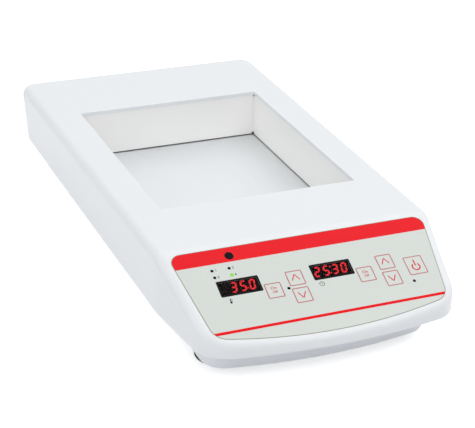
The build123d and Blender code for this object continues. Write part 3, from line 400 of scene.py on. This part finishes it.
padLook = {
    "sheen": 0.2, "strandNoise": (420.0, 5.0, 0.75), "strandStretch": (1.0, 0.25, 1.0),
    "crossNoise": (380.0, 5.0, 0.75), "crossStretch": (0.25, 1.0, 1.0), "shades": (0.72, 1.1),
    "rough": 0.85, "roughFelt": 0.1, "bump": (0.8, 0.5 * mm),
}


def fibrePad(name, colour):
    look = padLook
    paint = Paint(name, {"Sheen Weight": look["sheen"]})
    strands = paint.noise(*look["strandNoise"], look["strandStretch"])
    crossed = paint.noise(*look["crossNoise"], look["crossStretch"])
    felt = strands * 0.5 + crossed * 0.5
    dark, pale = look["shades"]
    paint.feed("Base Color", paint.blend(felt, shade(colour, dark), shade(colour, pale)))
    paint.feed("Roughness", look["rough"] + felt * look["roughFelt"])
    paint.feed("Normal", paint.bump(felt, *look["bump"]))
    return paint.material


matLook = {
    "threads": 520.0, "distort": 0.4, "cloudNoise": (30.0, 3.0, 0.6), "cloudShades": (0.85, 1.15),
    "weave": 0.35, "weaveShade": 0.6, "rough": 0.62, "roughWeave": 0.12, "bump": (0.4, 0.2 * mm),
}


def wovenMat(name, colour):
    look = matLook
    paint = Paint(name, {})
    across, along = (paint.stripes(look["threads"], axis, look["distort"]) for axis in "XY")
    weave = across * 0.5 + along * 0.5
    cloud = paint.noise(*look["cloudNoise"])
    dark, pale = look["cloudShades"]
    tone = paint.blend(cloud, shade(colour, dark), shade(colour, pale))
    paint.feed("Base Color", paint.blend(weave * look["weave"], tone, shade(colour, look["weaveShade"])))
    paint.feed("Roughness", look["rough"] + weave * look["roughWeave"])
    paint.feed("Normal", paint.bump(weave, *look["bump"]))
    return paint.material


finishes = {   # how it is made, its colour, and what differs from that kind's usual look
    "housingWhite": (mouldedPlastic, (0.840, 0.862, 0.880), {}),
    "linerWhite": (paintedSheet, (0.945, 0.942, 0.925), {}),
    "trayGrey": (paintedSheet, (0.860, 0.880, 0.915), {}),
    "filmGrey": (printedFilm, (0.665, 0.704, 0.662), {}),
    "satinPlate": (satinPlate, (0.725, 0.74, 0.755), {}),
    "bandRed": (printedInk, (0.870, 0.016, 0.024), {"rough": 0.36}),
    "lineRed": (printedInk, (0.860, 0.006, 0.010), {"rough": 0.36}),
    "keyRed": (printedInk, (0.640, 0.110, 0.130), {}),
    "glyphRed": (printedInk, (0.720, 0.040, 0.055), {}),
    "edgeBrown": (printedInk, (0.300, 0.260, 0.180), {}),
    "inkBlack": (printedInk, (0.020, 0.020, 0.022), {}),
    "windowInk": (printedInk, (0.004, 0.003, 0.003), {}),
    "tintedWindow": (tintedWindow, (0.006, 0.003, 0.003), {"alpha": 0.30}),
    "digitRed": (litLens, (1.0, 0.018, 0.028), {"strength": 1.55}),
    "digitOff": (mouldedPlastic, (0.012, 0.005, 0.005), {"rough": 0.6, "ior": 1.1}),
    "displayBlack": (mouldedPlastic, (0.005, 0.004, 0.004), {"rough": 0.6, "ior": 1.1}),
    "lampGreen": (litLens, (0.170, 0.560, 0.045), {"strength": 0.75}),
    "lampDark": (mouldedPlastic, (0.004, 0.004, 0.005), {"rough": 0.35, "ior": 1.15}),
    "blackPlastic": (mouldedPlastic, (0.022, 0.022, 0.024), {"rough": 0.45, "drift": 0.1, "grain": 0.3}),
    "footRubber": (softRubber, (0.018, 0.018, 0.020), {}),
    "zincScrew": (bareMetal, (0.60, 0.61, 0.63), {}),
    "plainSheet": (bareMetal, (0.62, 0.63, 0.65), {"rough": 0.38}),
    "drawnAluminium": (bareMetal, (0.72, 0.73, 0.75), {"grainStretch": (1, 1, 0.05)}),
    "nickelBlade": (bareMetal, (0.70, 0.67, 0.60), {"rough": 0.22}),
    "whiteNylon": (mouldedPlastic, (0.78, 0.77, 0.72), {"rough": 0.5}),
    "greenTerminal": (mouldedPlastic, (0.03, 0.26, 0.09), {"rough": 0.5}),
    "relayBlue": (mouldedPlastic, (0.02, 0.09, 0.36), {"rough": 0.3}),
    "capacitorSleeve": (mouldedPlastic, (0.02, 0.03, 0.10), {"rough": 0.25}),
    "fuseBody": (mouldedPlastic, (0.72, 0.74, 0.74), {"rough": 0.12}),
    "circuitBoard": (circuitBoard, (0.012, 0.13, 0.045), {}),
    "coreSteel": (stackedSteel, (0.20, 0.21, 0.23), {"pitch": 1.0 * mm}),
    "windingCopper": (woundWire, (0.62, 0.24, 0.09), {"pitch": 0.8 * mm}),
    "insulationFibre": (fibrePad, (0.72, 0.69, 0.56), {}),
    "heatingMat": (wovenMat, (0.55, 0.13, 0.04), {}),
    "glassSleeve": (wovenMat, (0.74, 0.73, 0.68), {}),
    "cableJacket": (softRubber, (0.20, 0.21, 0.23), {"rough": 0.55}),
    "leadBrown": (softRubber, (0.12, 0.045, 0.018), {"rough": 0.5}),
    "leadGreen": (softRubber, (0.10, 0.36, 0.03), {"rough": 0.5}),
}

nodesOfFinish = {   # every other node is a screw, nut, post or other small piece of plated steel
    "housingWhite": ["top_housing"],
    "trayGrey": ["base_tray"],
    "linerWhite": ["well_liner"],
    "satinPlate": ["heater_plate"],
    "filmGrey": ["panel_overlay"] + [name for name in nodes if name.endswith("_key")],
    "tintedWindow": ["temperature_window", "time_window"],
    "displayBlack": ["temperature_display", "time_display"],
    "lampDark": ["indicator_lamps", "hot_lamp"],
    "lampGreen": ["set_lamp"],
    "footRubber": ["rubber_feet"],
    "insulationFibre": ["insulation_pad"],
    "heatingMat": ["heating_mat"],
    "plainSheet": ["insulation_tray"],
    "whiteNylon": ["tray_spacers", "cable_connectors"],
    "circuitBoard": ["control_board", "power_board"],
    "coreSteel": ["transformer_core"],
    "windingCopper": ["transformer_windings"],
    "drawnAluminium": ["heat_sink"],
    "relayBlue": ["relay"],
    "capacitorSleeve": ["capacitors"],
    "greenTerminal": ["terminal_blocks"],
    "nickelBlade": ["inlet_blades"],
    "fuseBody": ["fuses"],
    "cableJacket": ["panel_cable", "sensor_leads"],
    "leadBrown": ["mains_leads"],
    "glassSleeve": ["heater_leads"],
    "leadGreen": ["earth_lead"],
    "blackPlastic": ["overheat_cutout", "key_switches", "control_chips", "buzzer", "triac", "mains_inlet",
                     "fuse_drawer", "probe_jack"],
}


def makeMaterials():
    made = {name: maker(name, colour, **look) for name, (maker, colour, look) in finishes.items()}
    print("materials made:", len(made))
    return made


def paintNodes(made):
    finishOfNode = {node: finish for finish, names in nodesOfFinish.items() for node in names}
    for name, node in nodes.items():
        node.data.materials.clear()
        node.data.materials.append(made[finishOfNode.get(name, "zincScrew")])


# The control panel's own place: x across it, y up its slope, z out of it.
panelPlan = {
    "breakLine": -133.0 * mm,   # where the panel leaves the flat top
    "ink": 0.02 * mm,           # how thick a print stands on the film
    "level": 0.01 * mm,         # points this near the top of a piece are on its upper face
}
pressAxis = next(Vector(joint["axis"]) for joint in frame["joints"] if joint["name"] == "standby_press")
panelTilt = math.atan2(pressAxis.y, -pressAxis.z)
panelPlace = (
    Matrix.Translation((0.0, panelPlan["breakLine"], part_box("top_housing")[1].z))
    @ Matrix.Rotation(panelTilt, 4, "X")
)


def spotsOnPanel(name):
    back = panelPlace.inverted()
    return [back @ vertex.co for vertex in nodes[name].data.vertices]


def span(spots):
    low = Vector(min(spot[i] for spot in spots) for i in range(3))
    high = Vector(max(spot[i] for spot in spots) for i in range(3))
    return low, high


def upperFace(name):
    spots = spotsOnPanel(name)
    top = max(spot.z for spot in spots)
    return [spot for spot in spots if top - spot.z < panelPlan["level"]]


def onPanel(x, y, z):
    return panelPlace @ Matrix.Translation((x, y, z))


def finishPiece(shape, name, material, body, place, smooth=False):
    bmesh.ops.transform(shape, matrix=place, verts=shape.verts)
    bmesh.ops.remove_doubles(shape, verts=shape.verts, dist=weldGap)
    bmesh.ops.recalc_face_normals(shape, faces=shape.faces)
    for face in shape.faces:
        face.smooth = smooth
    mesh = bpy.data.meshes.new(name)
    shape.to_mesh(mesh)
    shape.free()
    mesh.materials.append(material)
    piece = addToScene(name, mesh)
    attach(piece, body)


def thicken(shape, height):
    moved = bmesh.ops.extrude_face_region(shape, geom=shape.faces[:])
    raised = [part for part in moved["geom"] if isinstance(part, bmesh.types.BMVert)]
    bmesh.ops.translate(shape, verts=raised, vec=(0, 0, height))


def printPiece(shape, name, material, body, place, layers=1.0):
    thicken(shape, layers * panelPlan["ink"])
    finishPiece(shape, name, material, body, place)


# The printed film's upper face in the panel's own place, with its openings.
def filmTop():
    shape = bmesh.new()
    shape.from_mesh(nodes["panel_overlay"].data)
    bmesh.ops.remove_doubles(shape, verts=shape.verts, dist=weldGap)
    bmesh.ops.transform(shape, matrix=panelPlace.inverted(), verts=shape.verts)
    top = max(vertex.co.z for vertex in shape.verts)
    under = [face for face in shape.faces if min(v.co.z for v in face.verts) < top - panelPlan["level"]]
    bmesh.ops.delete(shape, geom=under, context="FACES")
    return shape


bandPlan = {   # measured down the panel from where it leaves the flat top
    "band": (0.0 * mm, 16.0 * mm),
    "line": (70.7 * mm, 72.9 * mm),
    "edgeWidth": 0.35 * mm,
    "edgeLayers": 1.5,
}


def cutBetween(shape, upper, lower):
    for level, way in ((upper, 1), (lower, -1)):
        parts = shape.verts[:] + shape.edges[:] + shape.faces[:]
        bmesh.ops.bisect_plane(shape, geom=parts, plane_co=(0, -level, 0), plane_no=(0, way, 0),
                               clear_outer=True, dist=cutGap)


def printBands(made):
    for name, stretch, finish in (("printedBand", "band", "bandRed"), ("printedLine", "line", "lineRed")):
        shape = filmTop()
        cutBetween(shape, *bandPlan[stretch])
        printPiece(shape, name, made[finish], "case", panelPlace)
    print("band and line printed")


# A thin line follows the film's outer edge; its inner edges are dropped first.
def printEdgeLine(made):
    shape = filmTop()
    rim = {edge for edge in shape.edges if edge.is_boundary}
    start = max(rim, key=lambda edge: abs(edge.verts[0].co.x))
    loop, waiting = {start}, [start]
    while waiting:
        for vertex in waiting.pop().verts:
            near = [edge for edge in vertex.link_edges if edge in rim and edge not in loop]
            loop.update(near)
            waiting.extend(near)
    kept = {vertex for edge in loop for vertex in edge.verts}
    bmesh.ops.delete(shape, geom=shape.faces[:], context="FACES_ONLY")
    bmesh.ops.delete(shape, geom=[edge for edge in shape.edges if edge not in loop], context="EDGES")
    bmesh.ops.delete(shape, geom=[vertex for vertex in shape.verts if vertex not in kept], context="VERTS")
    bmesh.ops.contextual_create(shape, geom=shape.edges[:])
    keepRing(shape, bandPlan["edgeWidth"])
    printPiece(shape, "printedEdge", made["edgeBrown"], "case", panelPlace, bandPlan["edgeLayers"])
    print("edge line printed")


def keepRing(shape, width):
    ring = bmesh.ops.inset_region(shape, faces=shape.faces[:], thickness=width,
                                  use_boundary=True, use_even_offset=True)
    ringFaces = set(ring["faces"])
    inner = [face for face in shape.faces if face not in ringFaces]
    bmesh.ops.delete(shape, geom=inner, context="FACES")


# Small flat shapes that the prints are made from, drawn about the panel's own zero.
def outlineSheet(width, height, corner, line):
    shape = bmesh.new()
    corners = bmesh.ops.create_grid(shape, x_segments=1, y_segments=1, size=0.5)["verts"]
    bmesh.ops.scale(shape, vec=(width, height, 1), verts=corners)
    bmesh.ops.bevel(shape, geom=corners, offset=corner, segments=cornerSteps, profile=0.5,
                    affect="VERTICES", material=-1)
    keepRing(shape, line)
    return shape


def addBar(shape, start, end, thick):
    start, end = Vector(start), Vector(end)
    run = end - start
    corners = bmesh.ops.create_grid(shape, x_segments=1, y_segments=1, size=0.5)["verts"]
    bmesh.ops.scale(shape, vec=(run.length, thick, 1), verts=corners)
    turn = Matrix.Rotation(math.atan2(run.y, run.x), 4, "Z")
    middle = Matrix.Translation(((start + end) / 2).to_3d())
    bmesh.ops.transform(shape, matrix=middle @ turn, verts=corners)


def addRing(shape, radius, thick, low=0.0, opening=0.0):
    start = Matrix.Rotation(math.pi / 2 + opening / 2, 4, "Z")
    ends = [shape.verts.new(start @ Vector((radius + side * thick / 2, 0, 0))) for side in (-1, 1)]
    edge = shape.edges.new(ends)
    bmesh.ops.spin(shape, geom=[*ends, edge], cent=(0, 0, 0), axis=(0, 0, 1), steps=roundSteps,
                   angle=2 * math.pi - opening, use_merge=opening == 0.0)
    bmesh.ops.translate(shape, vec=(0, low, 0), verts=shape.verts[:])


def addDisc(shape, radius, x, y, sides):
    rim = bmesh.ops.create_circle(shape, cap_ends=True, segments=sides, radius=radius)["verts"]
    bmesh.ops.translate(shape, vec=(x, y, 0), verts=rim)


def wordMesh(text, height, bold):
    data = bpy.data.curves.new("word", "FONT")
    data.body = text
    data.size = height
    data.align_x = "CENTER"
    data.align_y = "CENTER"
    data.offset = bold
    holder = addToScene("word", data)
    bpy.context.view_layer.update()
    mesh = bpy.data.meshes.new_from_object(holder.evaluated_get(bpy.context.evaluated_depsgraph_get()))
    bpy.data.objects.remove(holder)
    shape = bmesh.new()
    shape.from_mesh(mesh)
    bpy.data.meshes.remove(mesh)
    return shape


keyPlan = {
    "line": 0.5 * mm,
    "corner": 0.5 * mm,
    "chevron": (2.85 * mm, 4.9 * mm, 0.75 * mm),     # half width, height, stroke
    "upLift": 0.7 * mm,
    "standbyRing": (2.8 * mm, 1.0 * mm, -1.26 * mm, 1.3),   # radius, stroke, height, opening in radians
    "standbyBar": (4.9 * mm, -0.3 * mm, 0.95 * mm),         # from, to, stroke
    "words": [("On", 3.3 * mm, 1.95 * mm), ("Off", 2.6 * mm, -1.35 * mm)],
    "bold": 0.07 * mm,
}


def addChevron(shape, way, lift):
    half, tall, stroke = keyPlan["chevron"]
    for side in (-1, 1):
        addBar(shape, (0, way * tall / 2 + lift), (side * half, -way * tall / 2 + lift), stroke)


def keySign(name):
    shape = bmesh.new()
    if "_up_" in name:
        addChevron(shape, 1, keyPlan["upLift"])
    elif "_down_" in name:
        addChevron(shape, -1, 0.0)
    else:
        addRing(shape, *keyPlan["standbyRing"])
        high, low, stroke = keyPlan["standbyBar"]
        addBar(shape, (0, high), (0, low), stroke)
    return shape


def printKeys(made):
    for name in sorted(n for n in nodes if n.endswith("_key")):
        low, high = span(spotsOnPanel(name))
        middle = (low + high) / 2
        padLow, padHigh = span(upperFace(name))
        width, height, _ = padHigh - padLow
        place = onPanel(middle.x, middle.y, high.z)
        outline = outlineSheet(width, height, keyPlan["corner"], keyPlan["line"])
        printPiece(outline, name + "_outline", made["keyRed"], name, place)
        if "_switch_" not in name:
            printPiece(keySign(name), name + "_sign", made["glyphRed"], name, place)
            continue
        for word, size, y in keyPlan["words"]:
            label = wordMesh(word, size, keyPlan["bold"])
            raised = place @ Matrix.Translation((0, y, 0))
            printPiece(label, name + "_" + word.lower(), made["keyRed"], name, raised)
    print("keys printed")


# Seven-segment figures on the display modules, behind the dark windows.
digitPlan = {
    "width": 4.5 * mm, "height": 8.7 * mm, "stroke": 1.3 * mm, "gap": 0.05 * mm, "slant": 0.17,
    "places": (-10.95 * mm, -4.1 * mm, 2.7 * mm, 9.3 * mm), "dot": 0.62 * mm, "dotSides": 12,
    "point": (5.7 * mm, -2.3 * mm), "colon": ((-0.75 * mm, 2.6 * mm), (-0.75 * mm, -2.6 * mm)),
    "shift": Vector((0.42 * mm, 0.65 * mm, 0.0)),    # the figures sit a little high on the module's face
    "border": 1.25 * mm, "windowCorner": 0.9 * mm, "layers": 2.0,
}
segmentsOfDigit = {
    " ": "", "0": "abcdef", "2": "abged", "3": "abgcd", "5": "afgcd",
}


def segmentEnds():
    wide = (digitPlan["width"] - digitPlan["stroke"]) / 2
    tall = (digitPlan["height"] - digitPlan["stroke"]) / 2
    return {
        "a": ((-wide, tall), (wide, tall)), "g": ((-wide, 0), (wide, 0)),
        "d": ((-wide, -tall), (wide, -tall)),
        "f": ((-wide, 0), (-wide, tall)), "b": ((wide, 0), (wide, tall)),
        "e": ((-wide, -tall), (-wide, 0)), "c": ((wide, -tall), (wide, 0)),
    }


def addSegment(shape, start, end, x):
    start, end = Vector(start), Vector(end)
    run = end - start
    half = digitPlan["stroke"] / 2
    reach = run.length / 2 - digitPlan["gap"]
    inner = reach - half
    corners = [(reach, 0), (inner, half), (-inner, half), (-reach, 0), (-inner, -half), (inner, -half)]
    points = [shape.verts.new((*corner, 0)) for corner in corners]
    shape.faces.new(points)
    turn = Matrix.Rotation(math.atan2(run.y, run.x), 4, "Z")
    middle = (start + end) / 2
    place = Matrix.Translation((middle.x + x, middle.y, 0))
    bmesh.ops.transform(shape, matrix=place @ turn, verts=points)


def lightDisplay(made, name, text, dots):
    low, high = span(spotsOnPanel(name + "_window"))
    middle, size = (low + high) / 2, high - low
    border = outlineSheet(size.x, size.y, digitPlan["windowCorner"], digitPlan["border"])
    thicken(border, panelPlan["ink"])
    place = onPanel(middle.x, middle.y, high.z)
    finishPiece(border, name + "_window_border", made["windowInk"], "case", place)

    lit, dark = bmesh.new(), bmesh.new()
    for figure, x in zip(text, digitPlan["places"]):
        for label, (start, end) in segmentEnds().items():
            addSegment(lit if label in segmentsOfDigit[figure] else dark, start, end, x)
    for x, y in dots:
        addDisc(lit, digitPlan["dot"], x, y, digitPlan["dotSides"])
    slant = Matrix.Identity(4)
    slant[0][1] = digitPlan["slant"]
    low, high = span(spotsOnPanel(name + "_display"))
    middle = (low + high) / 2 + digitPlan["shift"]
    place = onPanel(middle.x, middle.y, high.z) @ slant
    for shape, label, finish in ((lit, "_lit", "digitRed"), (dark, "_unlit", "digitOff")):
        thicken(shape, digitPlan["layers"] * panelPlan["ink"])
        finishPiece(shape, name + label, made[finish], "case", place)


def lightDisplays(made):
    lightDisplay(made, "temperature", " 350", [digitPlan["point"]])
    lightDisplay(made, "time", "2530", digitPlan["colon"])
    print("displays lit")


# Indicator lenses stand a little proud of the film.
lensPlan = {
    "height": 0.30 * mm, "rings": 16, "sides": 28,
    "cutGap": 0.0001,        # of the lens's radius
    "nodes": [   # node, finish, slot, wider than any one lens
        ("indicator_lamps", "lampDark", "lamp_dark", 3 * mm),
        ("set_lamp", "lampGreen", "lamp_green", 4 * mm),
        ("hot_lamp", "lampDark", "lamp_dark", 8 * mm),
    ],
}


def lensShape(radius):
    shape = bmesh.new()
    bmesh.ops.create_uvsphere(shape, u_segments=lensPlan["sides"], v_segments=lensPlan["rings"], radius=1.0)
    parts = shape.verts[:] + shape.edges[:] + shape.faces[:]
    cut = bmesh.ops.bisect_plane(shape, geom=parts, plane_co=(0, 0, 0), plane_no=(0, 0, -1),
                                 clear_outer=True, dist=lensPlan["cutGap"])
    rim = [part for part in cut["geom_cut"] if isinstance(part, bmesh.types.BMEdge)]
    bmesh.ops.contextual_create(shape, geom=rim)
    bmesh.ops.scale(shape, vec=(radius, radius, lensPlan["height"]), verts=shape.verts)
    return shape


# One span for each lamp of a node: its points lie closer together than the lamps do.
def lampSpans(name, apart):
    groups = []
    for spot in upperFace(name):
        group = next((g for g in groups if (spot - g[0]).length < apart), None)
        if group:
            group.append(spot)
        else:
            groups.append([spot])
    return [span(group) for group in groups]


def makeLenses(made):
    for node, finish, slot, apart in lensPlan["nodes"]:
        lamps = sorted(lampSpans(node, apart), key=lambda lamp: tuple(lamp[0] + lamp[1]))
        for count, (low, high) in enumerate(lamps):
            middle = (low + high) / 2
            shape = lensShape((high.x - low.x) / 2)
            place = onPanel(middle.x, middle.y, high.z)
            name = node + "_lens_" + str(count + 1)
            finishPiece(shape, name, made[finish], "case", place, smooth=True)
    print("lenses made")


# Plain signs by the lamps and under the windows: figures, a thermometer and a clock.
signPlan = {
    "figure": 2.5 * mm, "figureShift": 2.8 * mm, "bold": 0.05 * mm,
    "lamps": [(x, y) for y in (-21.2 * mm, -27.0 * mm) for x in (-70.5 * mm, -58.0 * mm)],
    "stroke": 0.34 * mm,
    "thermometer": (-66.0 * mm, -47.6 * mm),
    "bulb": (0.85 * mm, 0.0, -1.3 * mm, 28),                 # radius, place, sides
    "stem": (-0.6 * mm, 1.9 * mm, 0.75 * mm),                # from, to, stroke
    "marks": (-0.1 * mm, 0.65 * mm, 1.4 * mm),
    "markReach": (0.8 * mm, 1.5 * mm),
    "markStroke": 0.272 * mm,
    "clock": (1.6 * mm, -46.8 * mm),
    "dial": 1.75 * mm,
    "hands": (1.2 * mm, 0.9 * mm),
    "handStart": -0.1 * mm,      # the hands reach a little past the dial's middle
}


def thermometerShape():
    shape = bmesh.new()
    addDisc(shape, *signPlan["bulb"])
    low, high, stroke = signPlan["stem"]
    addBar(shape, (0, low), (0, high), stroke)
    near, far = signPlan["markReach"]
    for y in signPlan["marks"]:
        addBar(shape, (near, y), (far, y), signPlan["markStroke"])
    return shape


def clockShape():
    shape = bmesh.new()
    stroke = signPlan["stroke"]
    addRing(shape, signPlan["dial"], stroke)
    start = signPlan["handStart"]
    tall, wide = signPlan["hands"]
    addBar(shape, (0, start), (0, tall), stroke)
    addBar(shape, (start, 0), (wide, 0), stroke)
    return shape


def printSigns(made):
    film = upperFace("panel_overlay")[0].z
    for count, (x, y) in enumerate(signPlan["lamps"]):
        figure = wordMesh(str(count + 1), signPlan["figure"], signPlan["bold"])
        place = onPanel(x + signPlan["figureShift"], y, film)
        printPiece(figure, "lamp_figure_" + str(count + 1), made["inkBlack"], "case", place)
    for shape, name in ((thermometerShape(), "thermometer"), (clockShape(), "clock")):
        x, y = signPlan[name]
        printPiece(shape, name + "_sign", made["inkBlack"], "case", onPanel(x, y, film))
    print("signs printed")


# A pale bench top and a plain white room; the lamps are large and soft.
stagePlan = {
    "floorSize": 8.0,
    "floorDrop": 0.2 * mm,
    "floorTone": (0.82, 0.82, 0.83),
    "floorNoise": (3.0, 2.0, 0.5), "floorShades": (0.99, 1.01), "floorRough": 0.7,
    "floorGlow": 0.62,      # what the bench top adds to its look in the picture and in reflections
    "roomTone": (0.97, 0.98, 1.0, 1.0),
    "roomLevel": 0.375,
    "lamps": [
        # place, aimed at, size, watts
        ((0.3, 0.5, 2.3), (0.0, 0.0, 0.0), 3.4, 22.5),
        ((-2.0, -0.1, 1.2), (0.0, 0.0, 0.05), 1.8, 9.0),
        ((0.5, -1.2, 2.1), (0.0, 0.0, 0.03), 1.8, 13.5),
        ((2.0, 0.2, 1.4), (0.0, 0.0, 0.05), 2.0, 11.5),
        ((-1.6, -1.9, 1.3), (0.0, 0.0, 0.05), 1.6, 7.0),
    ],
}
black = (0.0, 0.0, 0.0, 1.0)
white = (1.0, 1.0, 1.0, 1.0)


# What the camera meets, straight on, in a reflection or through the windows.
def seenRays(graph):
    path = graph.make("ShaderNodeLightPath")
    kinds = ("Is Camera Ray", "Is Glossy Ray", "Is Transmission Ray")
    straight, mirrored, through = (Wire(graph, path.outputs[kind]) for kind in kinds)
    return straight + mirrored + through


# The bench top is white to the camera but keeps the part's shadow, and it is clear from below.
def benchPaint(plan):
    paint = Paint("benchTop", {"Roughness": plan["floorRough"], "Emission Strength": plan["floorGlow"]})
    cloud = paint.noise(*plan["floorNoise"])
    dark, pale = plan["floorShades"]
    tone = plan["floorTone"]
    paint.feed("Base Color", paint.blend(cloud, shade(tone, dark), shade(tone, pale)))
    paint.feed("Emission Color", paint.blend(seenRays(paint), black, white))
    under = paint.add("ShaderNodeNewGeometry", pick="Backfacing")
    clear = paint.add("ShaderNodeBsdfTransparent")
    skin = Wire(paint, paint.skin.outputs[0])
    paint.close(paint.add("ShaderNodeMixShader", None, {0: under, 1: skin, 2: clear}))
    return paint.material


def makeBench(plan):
    shape = bmesh.new()
    bmesh.ops.create_grid(shape, x_segments=2, y_segments=2, size=plan["floorSize"] / 2)
    bmesh.ops.translate(shape, vec=(0, 0, -plan["floorDrop"]), verts=shape.verts)
    mesh = bpy.data.meshes.new("benchTop")
    shape.to_mesh(mesh)
    shape.free()
    mesh.materials.append(benchPaint(plan))
    addToScene("benchTop", mesh)


def makeRoom(plan):
    world = bpy.data.worlds.new("studio")
    bpy.context.scene.world = world
    world.use_nodes = True
    room = Graph(world.node_tree)
    lit = room.add("ShaderNodeBackground", None, {"Color": plan["roomTone"], "Strength": plan["roomLevel"]})
    plain = room.add("ShaderNodeBackground", None, {"Color": white, "Strength": 1.0})
    mixed = room.add("ShaderNodeMixShader", None, {0: seenRays(room), 1: lit, 2: plain})
    room.make("ShaderNodeOutputWorld", None, {0: mixed})


def makeLamps(plan):
    for count, (place, target, size, watts) in enumerate(plan["lamps"]):
        data = bpy.data.lights.new("softLamp" + str(count), "AREA")
        data.shape = "SQUARE"
        data.size = size
        data.energy = watts
        lamp = addToScene("softLamp" + str(count), data)
        aim = Vector(target) - Vector(place)
        lamp.matrix_world = Matrix.Translation(place) @ aim.to_track_quat("-Z", "Y").to_matrix().to_4x4()


makeCamera(cameraPlan)
made = makeMaterials()
paintNodes(made)
printBands(made)
printEdgeLine(made)
printKeys(made)
lightDisplays(made)
makeLenses(made)
printSigns(made)
makeBench(stagePlan)
makeRoom(stagePlan)
makeLamps(stagePlan)
print("stage and lamps set")

bpy.context.scene.view_settings.view_transform = "Standard"
